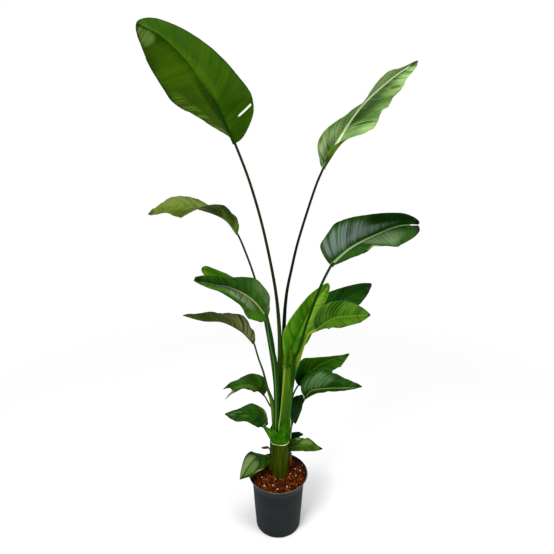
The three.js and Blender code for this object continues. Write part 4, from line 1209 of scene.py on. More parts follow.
# ------------------------------------------------------------------ the plant's leaves
# a half-width law that needs no trim
WHOLE = (100, 100)
LEAVES = [
    Leaf(
        "leaf_01_tall_left", "leaf_green", TALL_LEFT,
        rib=((-135, -65, 1550), (-190, -95, 1675), (-250, -130, 1768), (-312, -175, 1830),
        (-365, -225, 1854)),
        roll=(35, 40, 70, 81, 88), width=(104, 118), taper=((0.38, 0.62), (0.55, 0.62)),
        fold=((40, 30, 36, 44, 45), (60, 30, 31, 33, 36)), wave=Wave(Side.RIGHT, 3, 6, 0.1),
        slit=Slit(Side.LEFT, 0.298, 0.4, 5.5), lead=0.1,
        trim=((75, 82, 92, 101, 105, 106, 105, 101, 96, 93, 92, 93, 94, 95, 95, 95, 95, 96, 96, 94,
        91, 88, 85, 83, 82), (160, 160, 156, 147, 133, 124, 121, 120, 120, 117, 112, 107, 102, 99,
        97, 96, 95, 94, 93, 92, 91, 92, 95, 98, 100)),
        stalk=((6, 12, 406), (6, 10, 600), (6, 6, 760), (4, 2, 880), (-7, -5, 1019),
        (-28, -15, 1153), (-58, -30, 1300), (-95, -45, 1436)),
        radii=((10, 9), (10, 9), (9, 9), (7.5, 7.5), (5.8, 5.8), (5, 5), (4.6, 4.6), (4.3, 4.3),
        (4, 4))),
    Leaf(
        "leaf_02_tall_right", "leaf_green", TALL_RIGHT,
        rib=((155, 85, 1460), (208, 95, 1558), (281, 110, 1664), (379, 125, 1750),
        (465, 140, 1805)),
        roll=(55, 65, 112, 95, 92), width=(80, 80), taper=2 * ((0.5, 0.75),),
        fold=((70, 65, 60, 61, 62, 60, 58, 60, 62), (45, 45, 48, 58, 50, 50, 52, 56, 60)),
        wave=Wave(Side.RIGHT, 6, 6, 0), ridge=6, curl=(140, 125, 50, 0, 0, 0, 0, 0, 0),
        trim=((94, 94, 117, 126, 119, 108, 94, 87, 80, 71, 78, 78, 76, 81, 92, 99, 100, 100, 98,
        88, 64, 51, 48, 60, 60), (80, 80, 80, 85, 92, 100, 105, 108, 106, 102, 109, 104, 97, 86,
        80, 95, 97, 93, 98, 96, 88, 88, 98, 92, 92)),
        stalk=((14, 20, 406), (15, 18, 600), (20, 14, 740), (21, 12, 904), (29, 15, 1020),
        (46, 25, 1111), (72, 45, 1220), (125, 75, 1387)),
        radii=((10, 8), (9, 8), (8.5, 8), (7, 7), (5.6, 5.6), (5, 5), (4.6, 4.6), (4.2, 4.2),
        (4, 4))),
    Leaf(
        "leaf_03_right", "leaf_dark", RIGHT,
        rib=((180, -30, 1143), (245, -48, 1212), (325, -80, 1268), (384, -112, 1302),
        (440, -144, 1311)),
        roll=(44, 52, 65, 92, 98), width=(95, 95), taper=((0.34, 0.45), (0.42, 0.45)),
        fold=((40, 34, 48, 45, 40), (52, 52, 62, 58, 45)), wave=Wave(Side.RIGHT, 3, 5, 0), notch=7,
        split=0.945, end=0.993,
        trim=((133, 133, 122, 112, 109, 107, 109, 109, 103, 99, 96, 94, 92, 90, 89, 89, 89, 89, 91,
        88, 86, 89, 89, 92, 92), (70, 70, 69, 79, 89, 100, 108, 118, 122, 125, 131, 126, 125, 80,
        80, 83, 86, 91, 97, 101, 98, 98, 98, 99, 99)),
        stalk=((27, 6, 406), (38, 4, 560), (52, -24, 694), (55, -33, 758), (61, -40, 799),
        (75, -44, 835), (101, -45, 936), (143, -50, 1070)),
        radii=((9, 8), (9, 8), (7, 7), (6, 7), (5.6, 6), (5.6, 5.6), (4.8, 4.8), (4.6, 4.6),
        (4.4, 4.4))),
    Leaf(
        "leaf_04_upper_left", "leaf_green", UPPER_LEFT,
        rib=((-145, 45, 1240), (-185, 50, 1289), (-255, 55, 1319), (-345, 60, 1334),
        (-460, 70, 1302)),
        roll=(0, 0, 0), width=(55, 50), taper=2 * ((0.6, 0.65),),
        fold=((70, 65, 0, -40, -20), (50, 35, 24, 60, 50)), wave=Wave(Side.LEFT, 2.5, 6, 0),
        trim=((100, 100, 135, 147, 131, 142, 138, 134, 139, 135, 137, 127, 127, 151, 156, 128, 106,
        81, 58, 34, 30, 38, 57, 95, 95), (137, 137, 130, 135, 119, 120, 138, 131, 113, 95, 75, 93,
        125, 110, 108, 105, 101, 100, 100, 99, 96, 93, 90, 122, 122)),
        stalk=((-6, 20, 406), (-8, 20, 600), (-20, 18, 736), (-49, 20, 920), (-84, 26, 1077),
        (-122, 36, 1189)),
        radii=((9, 7), (9, 7), (7.5, 7), (5.5, 5.5), (3.9, 3.9), (3.6, 3.6), (3.4, 3.4))),
    Leaf(
        "leaf_05_middle_left", "leaf_dark", MIDDLE_LEFT,
        rib=((-40, -40, 955), (-88, -90, 1042), (-150, -150, 1105), (-205, -200, 1136),
        (-262, -238, 1165)),
        roll=(-125, -108, -84, -74, -65), width=(70, 66), taper=((0.6, 0.6), (0.65, 0.6)),
        fold=2 * ((58, 46, 50, 68, 68),), end=0.985,
        trim=((138, 131, 117, 110, 110, 110, 111, 114, 116, 116, 117, 118, 110, 100, 103, 116, 132,
        147, 139, 92, 90, 95, 100, 100, 100), (63, 70, 85, 92, 93, 99, 107, 112, 112, 110, 111,
        112, 108, 102, 96, 88, 80, 78, 84, 86, 90, 95, 100, 100, 100)),
        stalk=((-8, -8, 406), (-6, -16, 600), (-12, -20, 755), (-24, -26, 825), (-35, -33, 900)),
        radii=((11, 8), (11, 8), (10, 7), (8.5, 7), (7, 6), (5.5, 5.5))),
    Leaf(
        "leaf_06_behind_left", "leaf_green", BEHIND_LEFT,
        rib=((-60, 60, 985), (-145, 80, 1030), (-220, 100, 1062), (-290, 120, 1085)),
        roll=(-55, -60, -80), width=(30, 38), taper=2 * ((0.45, 0.5),),
        fold=2 * ((50, 60, 45, 25),),
        trim=(17 * (100,) + (101, 105, 112, 119, 121, 117, 112, 108), 7 * (100,) + (99, 95, 87, 77,
        68, 65, 65, 68, 71, 71, 71, 73, 77, 82, 91, 106, 122, 134)),
        stalk=((2, 27, 406), (-4, 30, 600), (-12, 34, 740), (-28, 44, 860)),
        radii=((7, 4), (6, 5), (5, 5), (4.2, 4.2), (3.6, 3.6))),
    Leaf(
        "leaf_07_left", "leaf_green", LEFT,
        rib=((-91, 10, 830), (-137, 15, 878), (-206, 20, 913), (-275, 20, 917), (-350, 20, 938)),
        roll=(0, 0, 0), width=(48, 40), taper=2 * ((0.45, 0.8),),
        fold=((85, 80, 65, 90, 100), (50, 40, 20, 40, 50)), wave=Wave(Side.LEFT, 3, 3, 0),
        trim=((67, 67, 96, 115, 106, 111, 123, 136, 150, 149, 137, 134, 125, 109, 123, 129, 127,
        122, 107, 101, 94, 82, 97, 124, 124), (105, 105, 116, 112, 109, 134, 146, 158, 158, 156,
        144, 133, 124, 128, 125, 137, 143, 147, 136, 129, 115, 108, 124, 124, 124)),
        stalk=((-15, 4, 406), (-16, 0, 480), (-24, -1, 580), (-42, 2, 644), (-57, 6, 711),
        (-75, 9, 768)),
        radii=((7, 11), (9.5, 10), (8.5, 8), (5, 5), (3.9, 3.8), (3.5, 3.5), (3.3, 3.3))),
    TornLeaf(
        "leaf_08_low_left", "leaf_green", LOW_LEFT,
        rib=((-57, 60, 576), (-90, 60, 620), (-140, 60, 628), (-185, 60, 615), (-220, 60, 603)),
        roll=(-30, -30, -30), width=(30, 42), taper=((0.5, 0.9), (0.5, 1.3)),
        fold=2 * ((35, 28, 28, 35),), strand=((-148, 60, 610), (-176, 57, 594), (-196, 55, 577),
        (-212, 54, 559)),
        trim=((68, 68, 61, 61, 70, 87, 96, 147, 135, 127, 125, 118, 109, 109, 118, 135, 149, 160,
        160, 160, 69, 46, 30, 30, 30), (110, 110, 110, 104, 109, 108, 108, 107, 104, 105, 104, 100,
        96, 90, 85, 75, 75, 88, 107, 125, 145, 160, 160, 160, 160)),
        stalk=((-28, 33, 300), (-30, 42, 373), (-20, 52, 493), (-37, 60, 534)),
        radii=((4.4, 4.4), (4.2, 4.2), (3.6, 3.6), (3.3, 3.3), (3, 3))),
    Leaf(
        "leaf_09_young", "leaf_young", YOUNG,
        rib=((28, -31, 749), (49, -9, 807), (88, -5, 910), (129, 0, 1000), (178, 5, 1068)),
        roll=(72, 98, 76, 84, 84), width=(57, 47), taper=((0.55, 0.5), (0.6, 0.5)),
        fold=((30, 24, 35, 45, 52), (20, 20, 35, 45, 52)), join=(0.14, 0.2),
        trim=((80, 90, 100, 105, 106, 108, 110, 112, 113, 115, 111, 107, 106, 105, 104, 103, 102,
        102, 103, 103, 100, 96, 93, 93, 94), (140, 140, 135, 125, 110, 100, 95, 92) + 17 * (100,)),
        stalk=((17, -17, 406), (17, -19, 487), (20, -20, 533), (26, -21, 605), (33, -20, 675),
        (37, -17, 726)),
        radii=((18, 7), (19.2, 7), (16.2, 7), (15, 7), (16.5, 7), (18.5, 6.5), (18, 5.5),
        (11, 4))),
    CollarLeaf(
        "leaf_10_collar", "leaf_green", COLLAR,
        rib=((-55, -30, 490), (-80, -40, 545), (-120, -50, 565), (-165, -55, 568),
        (-202, -60, 570)),
        roll=(-90, -80, -45, -38, -38), width=(34, 36), taper=((0.65, 0.8), (0.55, 0.8)),
        fold=2 * ((35, 22, 15, 10, -10),),
        trim=((73, 73, 73, 116, 113, 112, 112, 111, 110, 109, 108, 106, 101, 95, 95, 99, 105, 115,
        125, 128, 125, 123, 119, 106, 106), (135, 135, 108, 100, 99, 97, 101, 105, 105, 103, 105,
        111, 114, 106, 97, 85, 76, 70, 67, 64, 69, 68, 66, 67, 67)),
        stalk=((-24, -10, 430), (-35, -16, 456), (-46, -24, 476)),
        radii=((13, 14), (12.5, 12), (10.5, 8), (7, 6), (4, 4))),
    Leaf(
        "leaf_11_over_rim", "leaf_green", OVER_RIM,
        rib=((-36, 4, 325), (-70, -20, 340), (-105, -45, 335), (-150, -80, 285)),
        roll=(-17, -20, -35, -35, -40), width=(46, 40), taper=2 * ((0.5, 0.8),),
        fold=2 * ((-30, -25, -5, 0, 5),),
        trim=(16 * (100,) + (101, 102, 106, 108, 104, 95, 85, 79, 76), 7 * (135,) + (132, 126, 118,
        110, 104, 101, 99, 96, 92, 88, 85, 82, 80, 79, 77, 75, 74, 74)),
        stalk=((-31, 24, 300), (-34, 14, 316)),
        radii=((4.2, 4.2), (3.8, 3.8), (3.2, 3.2))),
    Leaf(
        "leaf_12_withered", "leaf_dark", WITHERED,
        rib=((-38, 42, 335), (-48, 46, 334), (-60, 52, 330), (-71, 58, 324)),
        roll=(0, 0), width=(8, 8), taper=2 * ((0.5, 0.8),),
        fold=2 * ((20, 20),),
        trim=((100, 100, 104, 123, 159, 160, 160, 160, 160, 160, 160, 160, 160, 160, 160, 160, 160,
        160, 159, 142, 112, 102, 100, 100, 100), WHOLE),
        stalk=((-32, 32, 300), (-33, 37, 326)),
        radii=((2.6, 2.6), (2.4, 2.4), (2, 2))),
    Leaf(
        "leaf_13_hanging", "leaf_dark", HANGING,
        rib=((98, 78, 560), (87, 80, 518), (78, 78, 474), (71, 76, 428)),
        roll=(-90, -85), width=(12, 40), taper=2 * ((0.5, 0.8),),
        fold=2 * ((10, 10),),
        trim=((101, 101, 102, 101, 99, 95, 94, 98, 104, 111, 117, 123, 130, 130, 126, 121) +
        9 * (120,), WHOLE),
        stalk=((38, 60, 300), (46, 72, 400), (64, 79, 490), (86, 80, 556)),
        radii=((3.4, 3.4), (3.2, 3.2), (3, 3), (3, 3), (2.8, 2.8))),
    Leaf(
        "leaf_14_low_right", "leaf_dark", LOW_RIGHT,
        rib=((105, 30, 580), (130, 20, 620), (195, -10, 649), (255, -40, 668), (308, -60, 687)),
        roll=(80, 40, 20, 17, 20), width=(72, 50), taper=((0.65, 0.9), (0.7, 1)),
        fold=((66, 48, 42, 44, 45), (70, 50, 42, 44, 45)), lead=0.24,
        trim=((40, 40, 47, 69, 91, 99, 100, 100, 100, 100, 99, 94, 86, 85, 85, 83, 80, 75, 75, 77,
        78, 78, 82, 95, 95), (101, 101, 104, 113, 119, 121, 121, 102, 92, 82, 90, 108, 112, 95,
        120, 135, 157) + 8 * (160,)),
        stalk=((48, 41, 300), (50, 42, 375), (57, 40, 458), (90, 34, 540)),
        radii=((4.6, 4.6), (4.2, 4.2), (3.8, 3.8), (3.4, 3.4), (3.2, 3.2))),
    Leaf(
        "leaf_15_right", "leaf_dark", BACK_RIGHT,
        rib=((80, 66, 618), (115, 80, 657), (160, 96, 685), (215, 110, 707), (288, 128, 724)),
        roll=(45, 38, 62, 90, 90), width=(56, 50), taper=2 * ((0.5, 1),),
        fold=2 * ((58, 42, 47, 42, 45),), lead=0.24,
        trim=((100, 100, 100, 100, 101, 103, 110, 113, 113, 102, 94, 89, 85, 80, 76, 72, 70, 74,
        75, 64, 65, 60, 69, 121, 121), 10 * (100,) + (101, 105, 116, 126, 129, 109, 118, 120,
        134) + 6 * (160,)),
        stalk=((38, 58, 300), (40, 60, 400), (46, 62, 500), (60, 62, 575)),
        radii=((4.2, 4.2), (4, 4), (3.8, 3.8), (3.5, 3.5), (3.2, 3.2))),
    Leaf(
        "leaf_16_behind_right", "leaf_dark", BEHIND_RIGHT,
        rib=((120, 50, 850), (185, 75, 935), (235, 95, 965), (295, 115, 993), (360, 140, 1018)),
        roll=(55, 55, 55, 70, 78), width=(50, 52), taper=((0.45, 0.55), (0.8, 0.55)),
        fold=2 * ((20, 20),), lead=0.24,
        trim=(10 * (100,) + (101, 101, 101, 98, 95, 91, 88, 86, 83, 81, 79, 76, 71, 62, 62),
        12 * (100,) + (101, 105, 115, 122, 122, 101, 99, 95, 91, 86, 81, 67, 67)),
        stalk=((24, 24, 406), (33, 26, 560), (52, 30, 680), (80, 38, 780)),
        radii=((6, 5), (6, 5), (5.5, 5), (4.6, 4.6), (4, 4))),
    Leaf(
        "leaf_17_front_right", "leaf_green", FRONT_RIGHT,
        rib=((134, -40, 906), (169, -55, 945), (204, -74, 971), (248, -97, 985), (308, -120, 999)),
        roll=(65, 60, 52, 42, 38), width=(58, 50), taper=((0.7, 0.8), (0.75, 0.8)),
        fold=2 * ((58, 50, 42, 36, 34),), lead=0.24,
        trim=(WHOLE, (88, 88, 88, 85, 90, 87, 94, 97, 97, 122, 111, 112, 119, 124, 131, 137, 133,
        129, 133, 138, 145, 160, 160, 160, 160)),
        stalk=((30, -8, 406), (36, -8, 484), (44, -12, 600), (51, -16, 672), (58, -20, 726),
        (70, -25, 779), (82, -29, 822), (96, -33, 862), (111, -37, 892)),
        radii=((8, 14), (9, 13), (9, 11), (9, 9), (9, 8), (12.5, 7), (11, 6), (8, 5.5), (6, 5),
        (5, 4.8), (4.6, 4.6))),
    Leaf(
        "leaf_18_low_right", "leaf_green", LOW_FRONT,
        rib=((42, 31, 345), (80, 20, 362), (130, 10, 372), (178, 0, 365)),
        roll=(45, 30, 40, 60), width=(35, 32), taper=2 * ((0.45, 0.9),),
        fold=2 * ((40, 30, 30, 20),),
        trim=(7 * (100,) + (99, 97, 91, 89, 89, 85, 91, 103, 102, 92, 85, 73, 64, 56, 52, 53, 61,
        61), (99, 99, 94, 83, 80, 79, 80, 81, 81, 83, 82, 87, 95, 99, 103, 104, 108, 111, 111, 114,
        115, 118, 123, 123, 123)),
        stalk=((49, 32, 300), (45, 32, 322)),
        radii=((3.4, 3.4), (3.2, 3.2), (3, 3))),
    Leaf(
        "leaf_19_small", "leaf_dark", SMALL,
        rib=((54, 58, 356), (62, 61, 378), (82, 67, 389), (104, 71, 380)),
        roll=(0, 0), width=(14, 24), taper=2 * ((0.5, 0.8),),
        fold=((20, 20), (0, -20)),
        trim=(5 * (100,) + (101, 106, 114, 124, 128, 127, 121, 108, 91, 76, 67, 65, 65, 65, 66, 72,
        83, 94, 99, 100), WHOLE),
        stalk=((47, 52, 300), (50, 55, 345)),
        radii=((2.8, 2.8), (2.6, 2.6), (2.4, 2.4))),
]

STEMS = [
    Stem("main_stem", ((7, 0, 150), (7, 0, 230), (7, 0, 320), (7, 0, 406)),
         ((28, 27), (30, 29), (33, 32), (34.5, 34.5)), bands=(262, 318, 372)),
    Stem("left_shoot_stem", ((-30, 24, 150), (-30, 26, 230), (-30, 29, 300)),
         ((7, 8), (8, 9), (9, 11)), bands=(256, 284), light="#789410", dark="#4a620a",
         blush="#7c6e14", seed=2.0),
    Stem("right_shoot_stem", ((47, 48, 150), (46, 50, 230), (45, 50, 300)),
         ((10, 10), (11, 12), (12, 16)), bands=(252, 280), light="#836306", dark="#412807",
         blush="#92340c", seed=3.0),
]


# ------------------------------------------------------------------ pot
@dataclass
class NurseryPot:
    """The tapered nursery pot with its flared band, thick rim and drain holes."""

    height: float = 252.0
    rim: float = 120.0
    band: float = 37.0
    neck: float = 105.0
    base: float = 92.0
    wall: float = 2.2
    floor: float = 3.0
    bead: float = 4.4
    corner: float = 5.0
    holes: int = 8
    hole_radius: float = 5.0
    hole_circle: float = 66.0
    deep: str = "#12181a"
    light: str = "#171e20"
    band_color: str = "#1a2129"
    # grey-brown: fine dust, and the painted highlight along the top of the rim
    dust_and_rim_highlight: str = "#57534a"

    def plastic(self) -> Material:
        """Blown recycled polypropylene: matt blue-black, slightly cloudy, greyed along the rim.

        The eye sees a dull dark wall with a soft bluish bloom, faint rings left by the mould, fine
        grey-brown dust, and a grey-brown line painted along the top of the rim as a highlight.
        Clouds are about 70 mm wide, the grain is 1.1 mm and the rings are 1.4 mm apart.

        Returns:
            The node material.
        """
        material, tree = new_material("blown_polypropylene_matt")
        place = add(tree, "TexCoord", out="Object")
        height = add(tree, "SeparateXYZ", {0: place}, out=2)
        cloud = add(tree, "TexNoise", {"Vector": place, "Scale": 14.0, "Detail": 4.0})
        grain = add(tree, "TexNoise", {"Vector": place, "Scale": 900.0, "Detail": 2.0})
        drag = add(tree, "VectorMath", {0: place, 1: (60, 60, 700)}, **TIMES)
        ring = add(tree, "TexNoise", {"Vector": drag, "Scale": 1.0, "Detail": 2.0})
        color = lay_over(tree, self.deep, self.light, cloud, (0.35, 0.68))
        color = lay_over(tree, color, self.band_color, height, (0.2, 0.236), 0.5)
        # a grey-brown line painted along the top of the rim as a highlight
        painted_rim_highlight = add(tree, "Math", {0: cloud, 1: 0.006, 2: height}, **TIMES_PLUS)
        color = lay_over(tree, color, self.dust_and_rim_highlight, painted_rim_highlight, (0.2525, 0.2545))
        # the same grey-brown speckled thinly over the wall as dust
        color = lay_over(tree, color, self.dust_and_rim_highlight, grain, (0.68, 0.8), 0.2)
        relief = add(tree, "Math", {0: ring, 1: 0.5, 2: grain}, **TIMES_PLUS)
        matt = add(tree, "MapRange", {0: cloud, 3: 0.58, 4: 0.68})
        surface(tree, color, matt, relief, (0.2, 0.0004), 0.1, ior=1.49)
        return material

    def profile(self) -> Array:
        """The wall's section, from the middle of the foot round to the middle of the floor.

        The foot's corner is a quarter of a circle and the rim's bead most of one, and between them
        the wall is straight lines that bow a little.

        Returns:
            Radius and height of each point, in millimetres.
        """
        h, r, c, low = self.height, self.rim, self.corner, self.height - self.band
        half, inner = self.bead / 2, self.neck - self.wall
        foot = np.linspace(0, math.pi / 2, 7)
        lip = np.linspace(-0.35 * math.pi, 1.15 * math.pi, 14)
        flat = stacked(np.array([0, 30, 58]), 0)
        return np.concatenate([
            flat, [[self.base - 12, 0]],
            stacked(self.base - c + c * np.sin(foot), c - c * np.cos(foot)),
            self.slope(self.base, c, self.neck - 0.6, low - 1, 24, 0.5),
            self.slope(self.neck - 0.1, low + 1, r - 2.2, h - self.bead - 0.4, 10, 0.3),
            stacked(r - half + half * np.cos(lip), h - half + half * np.sin(lip)),
            self.slope(r - self.bead, h - self.bead - 1, inner, low, 6, 0),
            self.slope(inner, low - 2, self.base - self.wall, self.floor, 12, 0),
            flat[::-1] + (0, self.floor)])

    def slope(self, r0: float, z0: float, r1: float, z1: float, count: int, bow: float) -> Array:
        """Points on a straight wall that bows outwards by a parabola of the given height."""
        u = np.linspace(0, 1, count)
        return stacked(r0 + (r1 - r0) * u + 4 * bow * u * (1 - u), z0 + (z1 - z0) * u)

    def build(self) -> Object:
        """Turns the profile about Z and bores the drain holes through the floor.

        Returns:
            The finished piece.
        """
        r, z = self.profile()[1:-1].T[..., None]
        skin, drills, none = Skin(), Skin(), np.zeros(3)
        skin.tube(around(r, circle(128), z), none, none)
        pot = skin.piece("pot_wall", [self.plastic()], sharp=40)
        for hole in range(self.holes):
            turn = math.tau * (hole + 0.5) / self.holes
            bore = around(self.hole_radius, circle(16), 0) + around(self.hole_circle, turn, 0)
            drills.tube(np.concatenate([bore - (0, 0, 6), bore + (0, 0, 9)]), none, none)
        drill = drills.piece("drill", [pot.data.materials[0]], smooth=False)
        cut = pot.modifiers.new("drain_holes", "BOOLEAN")
        cut.operation, cut.solver, cut.object = "DIFFERENCE", "EXACT", drill
        view = bpy.context.evaluated_depsgraph_get()
        bored = bpy.data.meshes.new_from_object(pot.evaluated_get(view))
        pot.modifiers.clear()
        pot.data = bored
        bpy.data.objects.remove(drill)
        return ride_and_slot(pot, "pot")


# ------------------------------------------------------------------ soil
@dataclass
class PottingMix:
    """Coarse coir and bark, heaped a little towards the stems, with perlite on top.

    perlite lists where the biggest white grains lie, as x and y in millimetres, small_perlite is
    how many small ones are tried, and the two sizes are their half-widths. side holds radius and
    height of the rings from the floor's edge up the pot's wall, and spread is how far out loose
    grains lie.
    """

    radius: float = 112.6
    side: Pairs = ((88.4, 3.3), (88.5, 3.8), (101.6, 213.0), (101.9, 215.0))
    rings: int = 76
    sides: int = 180
    spread: float = 110.0
    crumbs: int = 2600
    fibres: int = 420
    grain_sides: int = 6
    perlite: Pairs = ((102, 53), (70, 27), (47, -2), (72, -14), (-11, -36), (-21, -69), (-3, -88),
                      (-66, -22), (90, 15), (-55, -69), (35, -74))
    small_perlite: int = 26
    perlite_sizes: tuple[float, float] = (2.9, 1.15)

    def height(self, x: Array, y: Array) -> Array:
        """The CAD soil's height: a parabola of the radius and crossed sines for the crumbs.

        Args:
            x: places along X, in millimetres.
            y: places along Y.

        Returns:
            The heights there.
        """
        crumbs = np.sin(0.31 * x + 1.3) * np.cos(0.27 * y - 0.6) \
            + 0.6 * np.sin(0.62 * y + 0.4 * x) + 0.5 * np.cos(0.55 * x - 0.8 * y)
        return SOIL_LEVEL + SOIL_CROWN * (1 - (np.hypot(x, y) / 105) ** 2) + 1.1 * crumbs

    def coir(self) -> Material:
        """Moist coir and bark: dull rusty brown crumbs, from near black to orange-brown.

        Each crumb's own number in grown_uv.z picks its brown, and grown_uv.x of 1 marks perlite,
        which is dusty white expanded glass. Fine mottling is 2.4 mm wide and broad patches 18 mm.

        Returns:
            The node material.
        """
        material, tree = new_material("coir_bark_perlite_mix")
        place = add(tree, "TexCoord", out="Object")
        share = add(tree, "Attribute", out="Vector", attribute_name=KEPT[1])
        white, pick = (add(tree, "SeparateXYZ", {0: share}, out=k) for k in (0, 2))
        fine = add(tree, "TexNoise", {"Vector": place, "Scale": 420.0, "Detail": 4.0})
        broad = add(tree, "TexNoise", {"Vector": place, "Scale": 55.0, "Detail": 2.0})
        tone = add(tree, "Math", {0: fine, 1: 0.5, 2: pick}, **TIMES_PLUS)
        tone = add(tree, "Math", {0: broad, 1: 0.4, 2: tone}, **TIMES_PLUS)
        color = lay_over(tree, "#1c0701", "#5a2104", tone, (0.55, 1.15))
        color = lay_over(tree, color, "#a4561c", tone, (1.1, 1.5))
        chalk = add(tree, "Mix", {0: fine, 6: "#c9b49a", 7: "#efe4d4"}, **BLEND)
        color = add(tree, "Mix", {0: white, 6: color, 7: chalk}, **BLEND)
        surface(tree, color, 0.9, fine, (0.8, 0.0012), 0.06, ior=1.5)
        return material

    def bed(self, skin: Skin) -> None:
        """Adds the bed: closed rings from the floor's edge up the pot's wall and over the top.

        The top is the CAD height plus finer crossed sines.

        Args:
            skin: the mesh that grows.
        """
        angles = circle(self.sides)
        r = self.radius * np.linspace(1, 0.004, self.rings)[:, None] ** 0.8
        x, y = r * np.cos(angles), r * np.sin(angles)
        z = self.height(x, y) + 0.8 * np.sin(1.3 * x + 0.4 * y) * np.cos(1.1 * y - 0.7 * x) \
            + 0.5 * np.sin(2.3 * x - 1.9 * y)
        low_r, low_z = np.array(self.side).T[..., None]
        rings = np.concatenate([around(low_r, angles, low_z), stacked(x, y, z)])
        skin.tube(rings, rings * MM, np.array([0, 0, 0.2]))

    def scatter(self, skin: Skin, places: Array, sizes: Array, rng: np.random.Generator,
                white: float) -> None:
        """Adds closed grains, each a dented ball, stretched by its sizes and turned at random.

        Args:
            skin: the mesh that grows.
            places: x, y and z of each grain in millimetres.
            sizes: half-sizes of each grain in millimetres.
            rng: the seeded source of chance.
            white: 1 for perlite and 0 for coir.
        """
        polar = np.array([2.8, 2.04, 1.1, 0.35])[:, None]
        ball = around(np.sin(polar), circle(self.grain_sides), np.cos(polar)).reshape(-1, 3)
        quads = grid_quads(len(polar), self.grain_sides, wrap=True)
        count, size = len(places), len(ball)
        dents = rng.uniform(0.72, 1.2, (count, size, 1))
        w, x, y, z = unit(rng.normal(size=(count, 4))).T
        spin = stacked(1 - 2 * (y * y + z * z), 2 * (x * y - w * z), 2 * (x * z + w * y),
                       2 * (x * y + w * z), 1 - 2 * (x * x + z * z), 2 * (y * z - w * x),
                       2 * (x * z - w * y), 2 * (y * z + w * x), 1 - 2 * (x * x + y * y))
        grains = np.einsum("nij,nkj->nki", spin.reshape(-1, 3, 3), ball * dents * sizes[:, None])
        points = grains + places[:, None]
        starts = np.arange(count) * size
        ends = np.arange(self.grain_sides)
        tops = (ends[::-1], ends + size - self.grain_sides)
        skin.join(points, (quads + starts[:, None, None]).reshape(-1, 4), points * MM,
                  stacked(white, 0, rng.uniform(0, 1, (count, 1)) + np.zeros(size)),
                  caps=tuple(cap + start for start in starts for cap in tops))

    def threads(self, skin: Skin, rng: np.random.Generator) -> None:
        """Adds coir fibres: thin triangular rods bent into a parabola and laid on the crumbs.

        Args:
            skin: the mesh that grows.
            rng: the seeded source of chance.
        """
        u = np.linspace(-1, 1, 5)
        for _ in range(self.fibres):
            r = (self.spread - 2) * math.sqrt(rng.uniform(0.02, 1))
            a, turn = rng.uniform(0, 6.28), rng.uniform(0, 6.28)
            half, bend, lift = rng.uniform(3, 9), rng.uniform(-2.5, 2.5), rng.uniform(0.4, 2.6)
            x = r * math.cos(a) + half * u * math.cos(turn) - bend * u * u * math.sin(turn)
            y = r * math.sin(a) + half * u * math.sin(turn) + bend * u * u * math.cos(turn)
            far = np.maximum(np.hypot(x, y) / (self.spread + 0.5), 1)
            x, y = x / far, y / far
            z = self.height(x, y) + lift + rng.uniform(-1, 1) * u * 1.2
            ring = oval_rings(stacked(x, y, z), np.full((5, 2), rng.uniform(0.16, 0.34)),
                              (u + 1) / 2, circle(3))
            skin.tube(ring, np.zeros(3), np.array([0.0, 0.0, rng.uniform(0.5, 1.3)]))

    def build(self) -> Object:
        """Builds bed, crumbs, fibres and perlite as one piece in place of the CAD soil.

        Returns:
            The finished piece.
        """
        rng = np.random.default_rng(41)
        skin = Skin()
        self.bed(skin)
        r = self.spread * np.sqrt(rng.uniform(0, 1, self.crumbs))
        a = rng.uniform(0, math.tau, self.crumbs)
        x, y = r * np.cos(a), r * np.sin(a)
        size = rng.gamma(3.0, 0.6, (self.crumbs, 1)) + 0.8
        sizes = np.minimum(size, 5.2) * rng.uniform(0.45, 1.15, (self.crumbs, 3))
        self.scatter(skin, stacked(x, y, self.height(x, y) + 0.3 * sizes[:, 2]), sizes, rng, 0.0)
        small = rng.uniform(-100, 100, (self.small_perlite, 2))
        spots = np.concatenate([self.perlite, small[np.hypot(*small.T) < 104]])
        big = np.arange(len(spots))[:, None] < len(self.perlite)
        sizes = np.where(big, *self.perlite_sizes) * rng.uniform(0.7, 1.1, (len(spots), 3))
        z = self.height(*spots.T) + 1.4 + 0.4 * sizes[:, 2]
        self.scatter(skin, np.column_stack([spots, z]), sizes, rng, 1.0)
        self.threads(skin, rng)
        soil = skin.piece("soil_mix", [self.coir()], sharp=35)
        return ride_and_slot(soil, "soil")


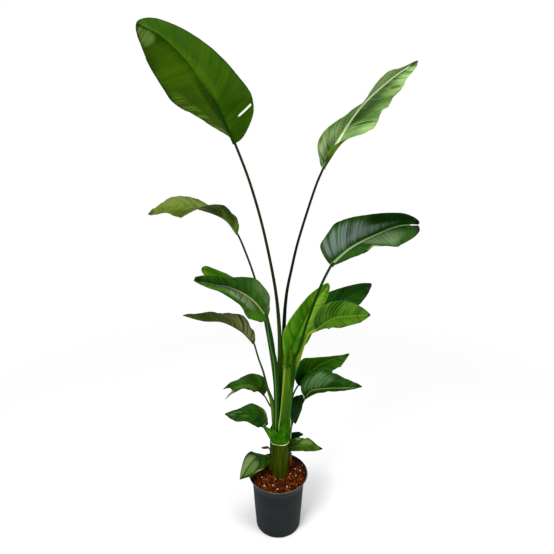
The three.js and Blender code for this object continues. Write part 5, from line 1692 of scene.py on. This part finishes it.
# ------------------------------------------------------------------ studio
@dataclass
class Studio:
    """Plain pale floor, soft lights and the camera at the photograph's angle.

    The camera stands 1.57 m in front and 1.62 m up, and looks 18.5 degrees down along +Y. Its
    focal length is 470 pixels of the picture's 554. Each lamp has its name, place, size and watts.
    """

    camera_at: tuple[float, float, float] = (-0.005, -1.572, 1.619)
    tilt: float = 18.5
    focal_share: float = 470 / 554
    sensor_mm: float = 36.0
    sky: float = 0.4
    aim: tuple[float, float, float] = (0, 0, 0.9)
    lamps: tuple = (("key", (-1.3, -1.9, 3.1), 1.5, 95), ("fill", (2.3, -1.6, 1.8), 1.5, 34),
                    ("top", (0.3, -0.2, 3.8), 1.6, 70))

    def camera(self) -> None:
        """Sets up the camera."""
        lens = bpy.data.cameras.new("camera")
        lens.sensor_width = self.sensor_mm
        lens.lens = self.focal_share * self.sensor_mm
        lens.clip_end = 50
        camera = bpy.data.objects.new("camera", lens)
        camera.location = self.camera_at
        camera.rotation_euler = (math.radians(90 - self.tilt), 0, 0)
        bpy.context.scene.collection.objects.link(camera)
        bpy.context.scene.camera = camera

    def lamp(self, name: str, place: tuple[float, float, float], size: float,
             watts: float) -> None:
        """Adds a square area light that faces the middle of the plant.

        Args:
            name: the lamp's name.
            place: where it stands, in metres.
            size: its side, in metres.
            watts: its power.
        """
        light = bpy.data.lights.new(name, "AREA")
        light.shape, light.size, light.energy = "SQUARE", size, watts
        lamp = bpy.data.objects.new(name, light)
        lamp.location = place
        x, y, z = unit(np.subtract(place, self.aim))
        lamp.rotation_euler = (math.acos(z), 0, math.atan2(y, x) + math.pi / 2)
        bpy.context.scene.collection.objects.link(lamp)

    def floor(self) -> None:
        """Lays a round pale floor 0.4 mm under the pot, which fades into the backdrop.

        It is a flat disc of four rings, opaque to 0.6 m from the middle and gone by 2.4 m.
        """
        r = np.array([[2500.0], [1500.0], [600.0], [4.0]])
        sides = circle(96)
        skin = Skin()
        skin.join(around(r, sides, -0.4), grid_quads(len(r), sides.size, wrap=True), np.zeros(3),
                  np.zeros(3), caps=(np.arange(sides.size) + 3 * sides.size,))
        material, tree = new_material("matt_white_paint")
        place = add(tree, "TexCoord", out="Object")
        far = add(tree, "VectorMath", {0: place}, out="Value", operation="LENGTH")
        gone = add(tree, "MapRange", {0: far, 1: 0.6, 2: 2.4}, **STEP)
        paint = add(tree, "BsdfPrincipled", {"Base Color": "#f6f6f6", "Roughness": 0.9,
                                             "Specular IOR Level": 0.0})
        clear = add(tree, "BsdfTransparent")
        shader = add(tree, "MixShader", {0: gone, 1: paint, 2: clear})
        add(tree, "OutputMaterial", {"Surface": shader}, out=None)
        skin.piece("floor", [material])

    def world(self) -> None:
        """A white backdrop for the eye that lights the plant at a lower strength."""
        world = bpy.data.worlds.new("studio")
        bpy.context.scene.world = world
        world.use_nodes = True
        tree = world.node_tree
        tree.nodes.clear()
        seen = add(tree, "LightPath", out="Is Camera Ray")
        strength = add(tree, "MapRange", {0: seen, 3: self.sky, 4: 1.0})
        glow = add(tree, "Background", {"Color": (1, 1, 1, 1), "Strength": strength})
        add(tree, "OutputWorld", {"Surface": glow}, out=None)

    def build(self) -> None:
        """Sets up camera, floor, lights and a plain colour transform."""
        self.camera()
        self.floor()
        self.world()
        for lamp in self.lamps:
            self.lamp(*lamp)
        bpy.context.scene.view_settings.view_transform = "Standard"


def main() -> None:
    logging.basicConfig(level=logging.INFO, format="%(name)s %(message)s")
    for part in (Studio(), NurseryPot(), PottingMix(), *STEMS, *LEAVES):
        part.build()


if __name__ == "__main__":
    main()
